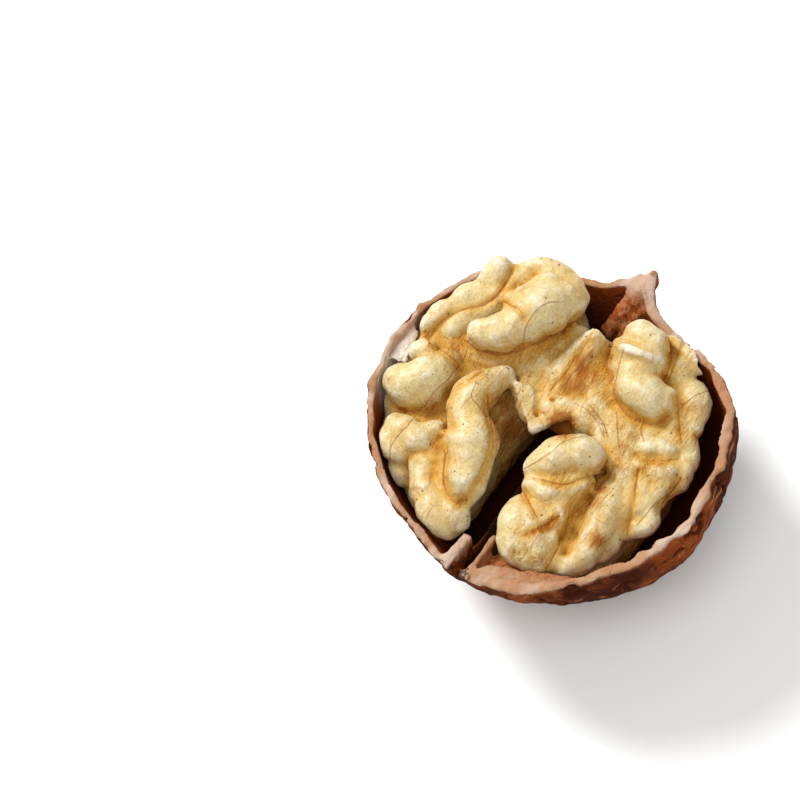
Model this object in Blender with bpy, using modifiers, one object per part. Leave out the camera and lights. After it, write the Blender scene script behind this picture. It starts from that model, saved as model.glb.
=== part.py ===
"""An opened walnut: one half of the shell, with the whole kernel and the dry partition in it.

+X runs along the nut from its stem to its pointed tip, +Z points up out of the open shell, and the
shell stands on a small flat spot under its middle. The tables are in millimetres and the finished
meshes in metres.
"""

import math

import bmesh
import bpy
import numpy as np
from mathutils import Matrix, Vector, noise
from mathutils.bvhtree import BVHTree

MM = 0.001

# Shell
RIM_HEIGHT = 17.0
SHELL_WALL = 1.25
SHELL_SEGMENTS = 72
SHELL_RINGS = 34
FLAT_SPOT_SINK = 0.35
WRINKLE_DEPTH = 0.4

# The rim seen from above, as its radius at each angle from +X towards +Y
RIM_RADIUS = [
    (-170, 18.9), (-156, 18.8), (-133, 17.9), (-109, 18.3), (-95, 18.7), (-87, 17.9), (-66, 18.6),
    (-50, 19.0), (-34, 18.4), (-25, 17.5), (-16, 17.2), (-8, 18.4), (0, 21.6), (5, 20.2), (11, 19.1),
    (17, 18.7), (25, 18.9), (33, 19.8), (43, 20.6), (54, 20.8), (68, 20.6), (78, 20.4), (90, 20.2),
    (106, 20.2), (115, 19.7), (127, 19.2), (143, 18.5), (161, 18.1), (175, 18.9),
]
# How far the rim stands above its mean height
RIM_RISE = [
    (-150, 0.1), (-120, 0.7), (-95, 0.9), (-60, 0.6), (-25, 0.1), (-6, 0.5), (0, 1.8), (6, 0.5),
    (15, 0.3), (30, 0.4), (50, 0.5), (76, 0.5), (90, 0.6), (120, 0.2), (165, -0.1), (180, -0.9),
]
# How far the wall swells past a plain bowl, half way down
CHEEK = [
    (-160, -0.5), (-130, 0.9), (-95, 1.7), (-60, 1.6), (-30, 1.2), (0, 0.4), (60, 0.9), (120, 0.4),
    (150, -0.6), (180, -1.0),
]

# Slats of the shell's own wood: the upper edge from the wall inwards, the lower edge likewise, the width
SLATS = {
    "beak rib left": ([(19.4, 0.9, 17.2), (14.2, 2.4, 13.6), (18, 1.2, 12.8), (14.2, 2.4, 7)], 0.9),
    "beak rib right": ([(19, -0.5, 17), (13.6, 0.4, 12.8), (17.8, -0.3, 12.8), (13.6, 0.4, 6.4)], 0.9),
    "stem wall left": ([(-18, 1.5, 16.1), (-14.2, 1.4, 15.2), (-17.3, 1.5, 13.4), (-14.2, 1.4, 10.5)], 1.1),
    "stem wall right": ([(-17.8, -1.1, 16), (-12.8, -1.7, 14.9), (-17.2, -1.1, 13.2), (-13, -1.6, 9)], 0.8),
    "stem shelf": ([(-17.8, -1.3, 15.7), (-13.4, -2, 14.7), (-16, -7.6, 15.7), (-14.2, -6.4, 14.7)], 0.8),
}

# Kernel
KERNEL_VOXEL = 0.5
KERNEL_TRIANGLES = 7400
KERNEL_GAP = 0.5

# Each lobe's thick body, as balls: x, y, z, radius
LOBES = {
    "left": [(-9.5, 7.8, 11, 4.3), (-5, 10, 9.5, 6), (1, 11, 9, 7), (7, 9.5, 9.5, 6.5), (12, 8, 12, 4.5)],
    "right": [
        (-10, -7.6, 11, 3.8), (-5, -8, 10, 4.8), (1, -8.2, 9.6, 5.2), (7, -7.4, 10, 5), (11, -6.2, 12, 3.8),
    ],
}

# The kernel's folds as the eye follows them, ridge by ridge: x, y, z of the fold's middle, and its radius
FOLDS = {
    "rim strip": [
        (4.4, 18.4, 16.4, 1), (5.2, 18, 16.9, 1.3), (6.5, 17.2, 17.3, 1.4), (7.9, 16.5, 17.5, 1.4),
        (9.1, 15.5, 17.8, 1.5), (10.4, 14.7, 18.1, 1.5), (11.6, 14.3, 18.6, 1.5),
        (12.6, 14.3, 18.9, 1.45),
    ],
    "strip slope": [
        (5, 17.2, 15.2, 1.8), (5.9, 16.3, 15.4, 2.1), (7.5, 15.6, 15.6, 2.1), (9.1, 14.8, 15.8, 2.1),
        (10.6, 13.8, 16.1, 2.1), (12.4, 13.3, 16.8, 1.8), (13.8, 13, 17.4, 1.4),
    ],
    "top hump": [
        (14.5, 12.4, 17.8, 1), (15.1, 11.5, 18.4, 1.1), (15.5, 10.7, 18.6, 1.2), (15.7, 9.7, 18.6, 1.3),
        (15.6, 8.4, 18.4, 1.4), (15.2, 6.9, 18.1, 1.5), (14.6, 5.7, 17.6, 1.5),
    ],
    "hook": [
        (5.6, 11.8, 18.2, 1.9), (6.1, 11, 18.4, 2), (6.7, 10, 18.5, 2.2), (8.1, 9.2, 18.6, 2.5),
        (9.7, 8.5, 18.6, 2.8), (11.4, 7.8, 18.4, 2.9), (12.9, 7, 18, 2.8), (13.8, 6.2, 17.6, 2),
    ],
    "hook spur": [
        (10.7, 11.7, 18.6, 0.9), (10.4, 10.6, 18.7, 1.5), (10.9, 9.6, 18.7, 2.1),
        (12.1, 9.1, 18.7, 1.9), (13.6, 8.5, 18.5, 1.9),
    ],
    "side bulge high": [
        (-3.2, 18.5, 15.6, 1.3), (-3, 17.3, 16.2, 1.8), (-2.6, 15.9, 16.4, 2.2), (-1.6, 15, 16.6, 2.4),
        (-0.3, 14.3, 16.6, 2.3), (1.4, 14.2, 16.3, 1.9),
    ],
    "side bulge high toe": [
        (-3.7, 16.9, 15.4, 1.3), (-4, 15.7, 15.4, 1.3), (-3.4, 14.7, 15.7, 1.6), (-2.3, 14.1, 16, 1.8),
    ],
    "side bump": [(0.9, 18.1, 15.8, 1.3), (1.6, 17.2, 16, 1.4), (2.5, 18.1, 15.6, 1)],
    "side bulge low": [
        (-8.1, 15.2, 15.2, 1.2), (-9.2, 14.4, 15.2, 1.3), (-9.6, 13.3, 15, 1.4),
        (-9.3, 12.6, 14.8, 1.2),
    ],
    "side bulge low top": [
        (-7.1, 15.2, 15.3, 1.2), (-7.6, 13.7, 15.5, 1.7), (-7.8, 12.2, 15.4, 1.8),
        (-6.9, 11.6, 15.4, 1.6), (-5.7, 10.9, 15.6, 1.2),
    ],
    "low strip": [
        (-9.7, 10.4, 15, 1.3), (-10.6, 9.4, 15.2, 1.5), (-11.8, 8.9, 15.2, 1.35),
        (-12.6, 7.3, 15.4, 1.6), (-13.6, 6.2, 15.2, 1.8), (-14.2, 5, 14.8, 1.7),
        (-14.5, 4.1, 14.4, 1.2),
    ],
    "slit ridge left": [
        (3, 7.6, 16.6, 1.2), (1.8, 8.2, 17, 1.6), (0.2, 8.7, 17.4, 2), (-1.5, 9, 17.6, 2.2),
        (-3, 8.4, 17.5, 2.2), (-4.3, 7.4, 17.3, 2.3), (-5.5, 6.3, 17.2, 2.7), (-6.9, 5.7, 17, 2.6),
        (-8.4, 5.1, 16.7, 2.4), (-9.8, 4.6, 16.3, 2.1), (-10.9, 4.3, 15.6, 1.7),
    ],
    "slit ridge left toe": [
        (-5.9, 8.7, 16.4, 1.2), (-12.4, 4.6, 15.2, 1.9), (-13.1, 3.8, 14.7, 1.5),
        (-14.3, 3.8, 14.2, 1.1),
    ],
    "valley left a": [
        (-3, 13.4, 13.9, 2), (-1.4, 13.3, 14.3, 1.8), (0.8, 12.9, 14.2, 2), (2.5, 12.7, 14.4, 2.1),
        (3.6, 15, 14.6, 1.9),
    ],
    "valley left b": [
        (4.7, 13.4, 14.8, 2.2), (4.7, 10.9, 14.7, 2.2), (5.9, 9, 15, 2.2), (7.7, 7.6, 15.2, 2.2),
        (9.4, 6.7, 15.2, 2),
    ],
    "valley left c": [
        (-5.4, 13.7, 13.6, 2.2), (-6.5, 10.6, 13.8, 2), (-8.2, 9.3, 14, 2), (-9.9, 7.9, 14, 2),
        (-11.3, 6.4, 13.8, 2),
    ],
    "valley left d": [
        (4, 18.3, 13.8, 2), (0.7, 19.1, 13.2, 1.8), (-3.6, 17.6, 12.8, 1.8), (-10.4, 12.4, 12.8, 1.8),
    ],
    "crest": [
        (11.4, 1.6, 18.6, 0.5), (10.1, 1.8, 18.5, 0.65), (8.8, 2.1, 18, 0.75), (7.4, 2.5, 17.3, 0.75),
        (5.9, 2.9, 16.6, 0.75), (4.7, 3.2, 16, 0.7),
    ],
    "crest base": [
        (10.5, 1.3, 17.5, 1.25), (9.2, 1.6, 17, 1.7), (7.8, 2.1, 16.3, 1.9), (6.2, 2.7, 15.6, 1.7),
    ],
    "crest left slope": [
        (11.1, 3.7, 15.4, 1.8), (9.5, 4.6, 15.1, 2), (7.6, 5.4, 14.9, 2), (5.9, 6.1, 14.9, 1.8),
        (5.6, 7.6, 14.9, 1.6),
    ],
    "crest right slope": [
        (9.8, 0.4, 15.6, 1.9), (7.7, 0.3, 15.2, 2.3), (6, 0.5, 14.9, 2.3), (7.7, -1.2, 15, 2.2),
        (5.9, -2.4, 14.8, 2.3), (3.8, -2.3, 14.6, 2.3),
    ],
    "bristly strip": [(12, 0.9, 16.4, 1.2), (10.6, -0, 16.2, 1.2), (9.1, -1.1, 15.8, 1.3)],
    "flap left": [
        (3.4, 6.1, 16.6, 0.9), (2.5, 5.1, 16.4, 1), (1.6, 4, 16.1, 1.1), (0.7, 3, 15.8, 1),
        (-0.1, 2.3, 15.5, 0.7),
    ],
    "flap middle": [
        (3.9, 5.1, 15.9, 1.3), (2.6, 3.6, 15.9, 1.3), (1.7, 2.6, 15.6, 1.2), (3.3, 2.7, 15.9, 1.3),
        (4.5, 2.1, 15.8, 1.5),
    ],
    "flap tip": [(1.6, 3, 15.2, 1.3), (0.3, 2.6, 15.2, 1.1)],
    "flap right": [
        (0.7, 2, 15.7, 0.8), (2, 1.4, 16, 0.9), (2.9, 0.8, 16.2, 1), (3.8, -0.1, 16.2, 1),
        (4.1, -1.2, 15.9, 0.9),
    ],
    "bridge": [(6.7, 5.2, 13.4, 2.2), (5.6, 2.4, 13.2, 2.3), (4.5, -0.5, 13, 2.4), (4.1, -3.3, 13, 2.4)],
    "slit ridge right top": [
        (-4.4, -1.3, 16.6, 1.6), (-3.4, -2.2, 17.1, 2), (-2.2, -3.2, 17.5, 2.1),
        (-1.3, -4.4, 17.6, 2.2), (-1, -5.4, 17.4, 1.9),
    ],
    "slit ridge right": [
        (-6.3, -2.2, 16.4, 1.5), (-6.2, -3.7, 16.6, 1.8), (-5.3, -4.9, 16.6, 1.9),
        (-3.9, -5.8, 16.4, 1.5),
    ],
    "slit ridge right low": [(-6.6, -5.3, 16, 1.7), (-8.2, -5.6, 15.8, 1.5), (-9.6, -5.6, 15.6, 1.5)],
    "scar lip": [(-10.6, -4, 16.6, 0.9), (-9.7, -4.8, 16.9, 1), (-8.7, -5.4, 16.6, 0.9)],
    "stem bulge right": [
        (-9.3, -2, 15.8, 1.7), (-11.3, -2.6, 15.7, 2), (-12.6, -3.6, 15.3, 1.9), (-13, -5.1, 15, 1.8),
    ],
    "stem bulge right low": [
        (-9.5, -3.2, 15.8, 1.9), (-11.3, -4.7, 15.7, 2.1), (-12.6, -6.1, 15.1, 1.7),
        (-12, -7, 14.9, 1.5), (-11, -6.3, 15.4, 1.7),
    ],
    "groove floor": [
        (-2.6, -7, 14.2, 1.6), (-5.1, -7.3, 13.9, 1.7), (-7.6, -7.7, 13.7, 1.7),
        (-10.1, -8.1, 13.4, 1.7),
    ],
    "groove rib": [
        (-2.7, -9, 15.1, 1.6), (-4.4, -9.3, 15.4, 1.7), (-6.1, -9.7, 15.4, 1.8), (-7.8, -10, 15.2, 1.8),
        (-9.3, -10, 14.9, 1.6), (-10.7, -9.8, 14.4, 1.5), (-11.9, -8.8, 14.2, 1.4),
    ],
    "field rib a": [(5.4, -2.4, 15.8, 1.3), (3.7, -4.1, 15.7, 1.3), (1.7, -5.3, 15.4, 1.3)],
    "field rib b": [(4.8, -4.6, 15.8, 1.2), (2.6, -6, 15.7, 1.2), (0.4, -7.1, 15.4, 1.2)],
    "field rib c": [(4.9, -6.6, 15.9, 1.2), (3.1, -7.6, 15.7, 1.2), (1.1, -8.6, 15.5, 1.3)],
    "lens": [(3.1, -9.8, 16, 1), (3.6, -10.5, 16.1, 1.1), (3.8, -11.5, 15.9, 0.8)],
    "knob top": [
        (13.6, -2, 17.4, 1.5), (13.6, -2.9, 18, 1.9), (13.4, -4.1, 17.9, 1.8), (13.2, -5.2, 17.4, 1.3),
    ],
    "knob waist": [
        (11.6, -2.4, 17.4, 1.9), (11, -3.9, 17.8, 2.2), (11.4, -5.2, 17.6, 1.9), (9.8, -3.4, 17.2, 2),
        (9.8, -4.7, 17.5, 2.2),
    ],
    "knob boot": [
        (8.1, -5, 17.1, 2.1), (8.1, -6.1, 17.3, 2.3), (7.9, -7.6, 17.2, 2.2), (8.4, -8.3, 16.9, 1.9),
        (9.2, -8.6, 16.6, 1.1),
    ],
    "knob ridge": [
        (11.5, -1.6, 18.4, 0.5), (11.1, -3.4, 19.5, 0.45), (11.3, -5.1, 19.4, 0.45),
        (11.8, -6.2, 18.5, 0.4),
    ],
    "margin edge a": [
        (16.3, -5.3, 16.2, 1.1), (15.6, -6.7, 16.3, 1.2), (14.1, -7.9, 16.3, 1.5),
        (12.7, -9.4, 16.1, 1.7),
    ],
    "margin edge b": [(11.3, -11.1, 15.9, 1.8), (10, -12.3, 15.8, 1.8), (8.3, -13, 15.6, 1.6)],
    "margin edge c": [
        (6.3, -13, 15.3, 1.7), (5.6, -14.4, 15.2, 1.1), (4.1, -14.4, 15, 1.3), (2.4, -14.6, 14.8, 1.1),
    ],
    "margin edge d": [(1.1, -13.9, 14.9, 1.4), (-0.3, -13.4, 15, 1.5), (-1.6, -13.5, 14.9, 1.3)],
    "margin edge e": [
        (-2.8, -13.5, 14.7, 1.1), (-3.9, -13.9, 14.5, 1.1), (-4.7, -13.2, 14.5, 1.1),
        (-5.3, -12.5, 14.4, 1),
    ],
    "margin edge f": [(-5.5, -11.2, 14.6, 1.3), (-7.1, -11.2, 14.4, 1.3), (-8.7, -11.1, 14.2, 1.3)],
    "margin field a": [
        (12.9, -7.5, 15.6, 1.8), (11.2, -9.3, 15.3, 2), (9.3, -10.7, 15.3, 2), (7.3, -11.2, 15.1, 2),
        (5.4, -11.3, 14.7, 2),
    ],
    "margin field b": [
        (6.5, -9.1, 14.9, 2), (4.4, -8.1, 14.7, 2), (5.6, -5.6, 14.9, 2), (3.3, -5.9, 14.9, 2),
        (1.4, -7.2, 14.8, 2),
    ],
    "margin field c": [
        (1.3, -9.9, 14.9, 2), (1.5, -11.8, 15, 2), (2.9, -12.7, 14.9, 2), (-0.1, -9, 14.9, 1.8),
        (-0.9, -11.2, 14.9, 1.9),
    ],
    "margin field d": [
        (-2.5, -11.8, 14.6, 1.8), (-3.1, -10.4, 14.8, 1.7), (-4.5, -10.4, 14.6, 1.7),
        (-1.4, -12.1, 14.8, 1.7),
    ],
}

# Partition: where it runs seen from above, and how high its upper edge stands
PARTITION_LINE = [(-15.2, 0.1), (-12, -0.2), (-6, 0.1), (0, 0.7), (6, 0.6), (11, 0.3)]
PARTITION_TOP = [(-16.5, 14.2), (-12, 12.4), (-6, 11), (0, 9.4), (5, 8), (11, 7.2)]
PARTITION_THICKNESS = 0.6
PARTITION_GAP = 0.3


def smooth_step(value, low, high):
    t = min(1.0, max(0.0, (value - low) / (high - low)))
    return t * t * (3 - 2 * t)


def around(points, degrees, soften=3.0):
    """The value of a table of angles at one angle, with its corners rounded off."""
    angles, values = zip(*points)
    near = degrees + soften * np.linspace(-1, 1, 9)
    return float(np.interp(near, angles, values, period=360).mean())


def along(points, place):
    """The value of a short table of places at one place."""
    places, values = zip(*points)
    return float(np.interp(place, places, values))


def shell_point(direction):
    """Where the shell's outer face lies for a direction on the lower half of a unit ball, in millimetres."""
    degrees = math.degrees(math.atan2(direction.y, direction.x))
    level = max(0.0, 1 - direction.z ** 2) ** 0.5
    depth = -direction.z
    detail = math.exp(-(depth / 0.35) ** 2)
    radius = around(RIM_RADIUS, degrees) * detail
    radius += around(RIM_RADIUS, degrees, 16) * (1 - detail)
    reach = radius * level + around(CHEEK, degrees, 10) * math.sin(math.pi * depth)
    top = RIM_HEIGHT + around(RIM_RISE, degrees)
    height = max(0.0, top * (1 - depth) - FLAT_SPOT_SINK)
    turn = math.radians(degrees)
    point = Vector((reach * math.cos(turn), reach * math.sin(turn), height))
    return point + direction * wrinkle(point) * smooth_step(reach, 4, 7)


def wrinkle(point):
    """The furrows of the outer face, which run mostly along the nut."""
    long_waves = noise.noise(Vector((point.x * 0.1, point.y * 0.3, point.z * 0.3)))
    short_waves = noise.noise(point * 0.45)
    return WRINKLE_DEPTH * (long_waves + 0.6 * short_waves)


def new_object(name, mesh, collection):
    made = bpy.data.objects.new(name, mesh)
    collection.objects.link(made)
    return made


def new_collection(name):
    made = bpy.data.collections.new(name)
    bpy.context.scene.collection.children.link(made)
    return made


def evaluated_mesh(item):
    """The mesh of an object with its modifiers applied."""
    bpy.context.view_layer.update()
    graph = bpy.context.evaluated_depsgraph_get()
    return bpy.data.meshes.new_from_object(item.evaluated_get(graph))


def mesh_from(name, shape):
    """Turns a bmesh in millimetres into a mesh in metres."""
    bmesh.ops.scale(shape, vec=(MM, MM, MM), verts=shape.verts)
    mesh = bpy.data.meshes.new(name)
    shape.to_mesh(mesh)
    shape.free()
    return mesh


def material(name, colour, roughness):
    made = bpy.data.materials.new(name)
    made.use_nodes = True
    surface = made.node_tree.nodes["Principled BSDF"]
    surface.inputs["Base Color"].default_value = (*colour, 1)
    surface.inputs["Roughness"].default_value = roughness
    surface.inputs["Metallic"].default_value = 0.0
    return made


def slat(name, corners, width, helpers):
    """A thin upright slat of the shell's own wood, from its four corners: upper two, then lower two."""
    shape = bmesh.new()
    bmesh.ops.create_grid(shape, x_segments=1, y_segments=1, size=1)
    for vertex, corner in zip(sorted(shape.verts, key=lambda v: (-v.co.y, v.co.x)), corners):
        vertex.co = corner
    middle = sum((vertex.co for vertex in shape.verts), Vector()) / 4
    bmesh.ops.recalc_face_normals(shape, faces=shape.faces)
    bmesh.ops.solidify(shape, geom=shape.faces[:], thickness=width)
    off_middle = sum((vertex.co for vertex in shape.verts), Vector()) / len(shape.verts) - middle
    bmesh.ops.translate(shape, vec=-off_middle, verts=shape.verts)
    bmesh.ops.bevel(
        shape, geom=shape.edges[:], offset=width * 0.2, segments=1, profile=0.5, affect="EDGES", material=-1
    )
    bmesh.ops.recalc_face_normals(shape, faces=shape.faces)
    item = new_object(name, mesh_from(name, shape), helpers)
    item.hide_render = True
    item.display_type = "WIRE"
    return item


def build_shell(parts, helpers):
    """The bowl of the shell, with the beak's ribs and the walls of the stem's channel grown on it."""
    shape = bmesh.new()
    bmesh.ops.create_uvsphere(shape, u_segments=SHELL_SEGMENTS, v_segments=SHELL_RINGS, radius=1)
    whole = shape.verts[:] + shape.edges[:] + shape.faces[:]
    bmesh.ops.bisect_plane(
        shape, geom=whole, plane_co=(0, 0, 0), plane_no=(0, 0, 1), dist=1e-5, clear_outer=True
    )
    for vertex in shape.verts:
        vertex.co = shell_point(vertex.co.copy())
    shell = new_object("shell", mesh_from("shell", shape), parts)
    wall = shell.modifiers.new("wall", "SOLIDIFY")
    wall.thickness = SHELL_WALL * MM
    wall.offset = -1
    wall.use_even_offset = True
    slats = new_collection("slats")
    helpers.children.link(slats)
    bpy.context.scene.collection.children.unlink(slats)
    for name, (corners, width) in SLATS.items():
        slat(name, corners, width, slats)
    union = shell.modifiers.new("grown on", "BOOLEAN")
    union.operation = "UNION"
    union.operand_type = "COLLECTION"
    union.collection = slats
    union.solver = "EXACT"
    finished = evaluated_mesh(shell)
    shell.modifiers.clear()
    shell.data = finished
    for item in list(slats.objects):
        bpy.data.objects.remove(item)
    bpy.data.collections.remove(slats)
    shell.data.materials.clear()
    shell.data.materials.append(material("shell", (0.16, 0.075, 0.035), 0.75))
    return shell


def add_chain(shape, points):
    """Fills one fold with balls, close enough together to read as one rounded ridge."""
    for first, last in zip(points, points[1:]):
        a, b = Vector(first), Vector(last)
        steps = max(1, math.ceil((b.xyz - a.xyz).length / (0.4 * min(first[3], last[3]))))
        for step in range(steps + 1):
            ball = a.lerp(b, step / steps)
            bmesh.ops.create_icosphere(
                shape, subdivisions=2, radius=ball.w, matrix=Matrix.Translation(ball.xyz)
            )


def keep_largest(shape):
    """Drops every loose piece but the one with the most vertices."""
    left = set(shape.verts)
    groups = []
    while left:
        group = {left.pop()}
        edge = list(group)
        while edge:
            near = {e.other_vert(v) for v in edge for e in v.link_edges} & left
            left -= near
            group |= near
            edge = list(near)
        groups.append(group)
    groups.sort(key=len)
    for group in groups[:-1]:
        bmesh.ops.delete(shape, geom=list(group), context="VERTS")


def inside_shell(shape, shell):
    """Draws back whatever would come closer to the shell's inner face than the kernel's gap, in metres."""
    tree = BVHTree.FromObject(shell, bpy.context.evaluated_depsgraph_get())
    middle = Vector((0, 0, RIM_HEIGHT * MM))
    for vertex in shape.verts:
        away = vertex.co - middle
        hit = tree.ray_cast(middle, away.normalized())[0]
        if hit is not None:
            room = (hit - middle).length - KERNEL_GAP * MM
            if away.length > room:
                vertex.co = middle + away.normalized() * room
    for _ in range(12):
        for face in shape.faces:
            for place in (face.calc_center_median(), face.edges[0].verts[0].co, face.edges[1].verts[1].co):
                spot, normal, _, distance = tree.find_nearest(place)
                short = KERNEL_GAP * MM - (place - spot).dot(normal)
                if distance < KERNEL_GAP * MM and short > 0:
                    for vertex in face.verts:
                        vertex.co += normal * short * 0.4


def build_kernel(parts, shell):
    """Both lobes with their folds, joined by the bridge above the partition, as one solid."""
    shape = bmesh.new()
    for points in LOBES.values():
        for first, last in zip(points, points[1:]):
            for step in range(4):
                ball = Vector(first).lerp(Vector(last), step / 3)
                bmesh.ops.create_icosphere(
                    shape, subdivisions=3, radius=ball.w, matrix=Matrix.Translation(ball.xyz)
                )
    for points in FOLDS.values():
        add_chain(shape, points)
    kernel = new_object("kernel", mesh_from("kernel", shape), parts)
    remesh = kernel.modifiers.new("skin", "REMESH")
    remesh.mode = "VOXEL"
    remesh.voxel_size = KERNEL_VOXEL * MM
    smooth = kernel.modifiers.new("soften", "SMOOTH")
    smooth.factor = 0.5
    smooth.iterations = 2
    skin = evaluated_mesh(kernel)
    kernel.modifiers.clear()
    kernel.data = skin
    skin.calc_loop_triangles()
    thin = kernel.modifiers.new("thin out", "DECIMATE")
    thin.ratio = min(1.0, KERNEL_TRIANGLES / len(skin.loop_triangles))
    thinned = evaluated_mesh(kernel)
    kernel.modifiers.clear()
    shape = bmesh.new()
    shape.from_mesh(thinned)
    keep_largest(shape)
    inside_shell(shape, shell)
    shape.to_mesh(thinned)
    shape.free()
    kernel.data = thinned
    kernel.data.materials.clear()
    kernel.data.materials.append(material("kernel", (0.68, 0.47, 0.23), 0.55))
    return kernel


def build_partition(parts, shell):
    """The thin dry wall between the lobes: a plate that follows the shell's floor, under the bridge."""
    tree = BVHTree.FromObject(shell, bpy.context.evaluated_depsgraph_get())
    shape = bmesh.new()
    lower, upper = [], []
    for x in np.linspace(PARTITION_LINE[0][0], PARTITION_LINE[-1][0], 24):
        y = along(PARTITION_LINE, x)
        top = along(PARTITION_TOP, x) + 0.25 * math.sin(1.7 * x)
        foot = tree.ray_cast(Vector((x, y, top)) * MM, Vector((0, 0, -1)))[0]
        while tree.find_nearest(foot)[3] < (PARTITION_GAP + PARTITION_THICKNESS / 2) * MM:
            foot.z += 0.05 * MM
        lower.append(shape.verts.new(foot / MM))
        upper.append(shape.verts.new((x, y, top)))
    for i in range(len(lower) - 1):
        shape.faces.new((lower[i], lower[i + 1], upper[i + 1], upper[i]))
    partition = new_object("partition", mesh_from("partition", shape), parts)
    plate = partition.modifiers.new("thickness", "SOLIDIFY")
    plate.thickness = PARTITION_THICKNESS * MM
    plate.offset = 0
    partition.data.materials.append(material("partition", (0.13, 0.06, 0.03), 0.6))
    return partition


def main():
    for item in list(bpy.data.objects):
        bpy.data.objects.remove(item)
    parts = new_collection("walnut")
    helpers = new_collection("helpers")
    shell = build_shell(parts, helpers)
    build_kernel(parts, shell)
    build_partition(parts, shell)


main()
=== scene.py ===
"""An opened walnut: its split half shell, the folded kernel in it and the dry partition between the lobes."""

import math

import bmesh
import bpy
import numpy as np
from bpy.props import FloatProperty, FloatVectorProperty, PointerProperty
from mathutils import Matrix, Vector, noise


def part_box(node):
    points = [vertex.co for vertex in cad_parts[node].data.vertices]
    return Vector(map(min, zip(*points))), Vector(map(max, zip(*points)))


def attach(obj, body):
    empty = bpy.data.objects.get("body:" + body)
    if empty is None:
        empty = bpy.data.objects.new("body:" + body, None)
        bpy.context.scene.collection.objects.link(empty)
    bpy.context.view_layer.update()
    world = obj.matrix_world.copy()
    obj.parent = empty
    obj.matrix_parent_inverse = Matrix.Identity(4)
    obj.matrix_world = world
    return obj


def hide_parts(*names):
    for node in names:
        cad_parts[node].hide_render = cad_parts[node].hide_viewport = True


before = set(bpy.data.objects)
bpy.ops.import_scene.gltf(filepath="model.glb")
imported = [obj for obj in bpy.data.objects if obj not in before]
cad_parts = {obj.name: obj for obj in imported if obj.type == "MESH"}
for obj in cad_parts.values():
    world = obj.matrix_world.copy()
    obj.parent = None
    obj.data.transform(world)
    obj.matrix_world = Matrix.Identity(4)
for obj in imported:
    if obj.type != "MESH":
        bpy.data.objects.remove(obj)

bl_info = {
    "name": "Opened walnut",
    "version": (1, 0, 0),
    "blender": (4, 5, 0),
    "location": "3D View > Sidebar > Walnut",
    "description": "Builds an opened half walnut with its kernel, shell and partition",
    "category": "Add Mesh",
}

# The tables below are in millimetres, and the finished meshes in metres
MM = 0.001

RIM_HEIGHT = 17.0
FLAT_SPOT_SINK = 0.35
# How far down the outer face follows the rim's own outline, as a share of its depth
OUTLINE_DEPTH = 0.35
# How many degrees to each side a table of angles is rounded off
CRISP, SOFT, SOFTEST = 3.0, 10, 16
# How far apart the balls of a chain stand, as a share of a radius, and the least radius
LOBE_STEP, FOLD_STEP, LEAST_BALL = 0.35, 0.3, 0.15
# How much the balls of a fold differ in size, and how fast that changes from place to place
FOLD_UNEVENNESS, UNEVENNESS_FINENESS = 0.2, 0.6
BALL_SUBDIVISIONS = 3
# How often each fused skin is smoothed
SHELL_SMOOTHING, KERNEL_SMOOTHING = 1, 3
# How often the kernel's surface is averaged, to find its creases and its wider hollows
CREASE_SPREAD, HOLLOW_SPREAD = 14, 90
FURROW_WIDTH = 0.12
# How far a mark reaches to each side, and between which distances it fades out
MARK_REACH, MARK_FADE = 0.8, (0.6, 0.35)
# The segments round the bowl and from pole to pole, and the partition's along and up
BOWL_GRID = (240, 120)
PARTITION_GRID = (160, 50)

# The rim seen from above, as its radius at each angle from +X towards +Y
RIM_RADIUS = [
    (-170, 18.9), (-156, 18.8), (-133, 17.9), (-109, 18.3), (-95, 18.7), (-87, 17.9), (-66, 18.6),
    (-50, 19.0), (-34, 18.4), (-25, 17.5), (-16, 17.2), (-10, 17.6), (-6, 18.1), (-3, 19), (0, 21.8),
    (5, 20.2), (11, 19.1), (17, 18.7), (25, 18.9), (33, 19.8), (43, 20.6), (54, 21.1), (68, 21.1), (78, 21.1),
    (88, 20.9), (97, 20.6), (106, 20.3), (115, 19.7), (127, 19.2), (143, 18.5), (161, 18.1), (175, 18.9),
]
# How far the rim stands above its mean height
RIM_RISE = [
    (-150, 0.1), (-120, 0.7), (-95, 0.9), (-60, 0.6), (-25, 0.1), (-6, 0.5), (0, 1.8), (6, 0.5), (15, 0.3),
    (30, 0.4), (50, 0.5), (76, 0.5), (90, 0.6), (120, 0.2), (165, -0.1), (180, -0.9),
]
# How far the wall swells past a plain bowl, half way down
CHEEK = [
    (-160, -0.5), (-130, 0.9), (-95, 1.7), (-60, 1.6), (-30, 1.2), (0, 0.4), (60, 0.9), (120, 0.4),
    (150, -0.6), (180, -1.0),
]
# How thick the split wall is, as a share of the thickest
WALL_SHARE = [
    (-170, 0.85), (-120, 0.85), (-60, 0.78), (-20, 0.8), (0, 0.95), (14, 0.65), (50, 0.6), (100, 0.6),
    (130, 0.55), (150, 0.55), (168, 0.8),
]
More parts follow.
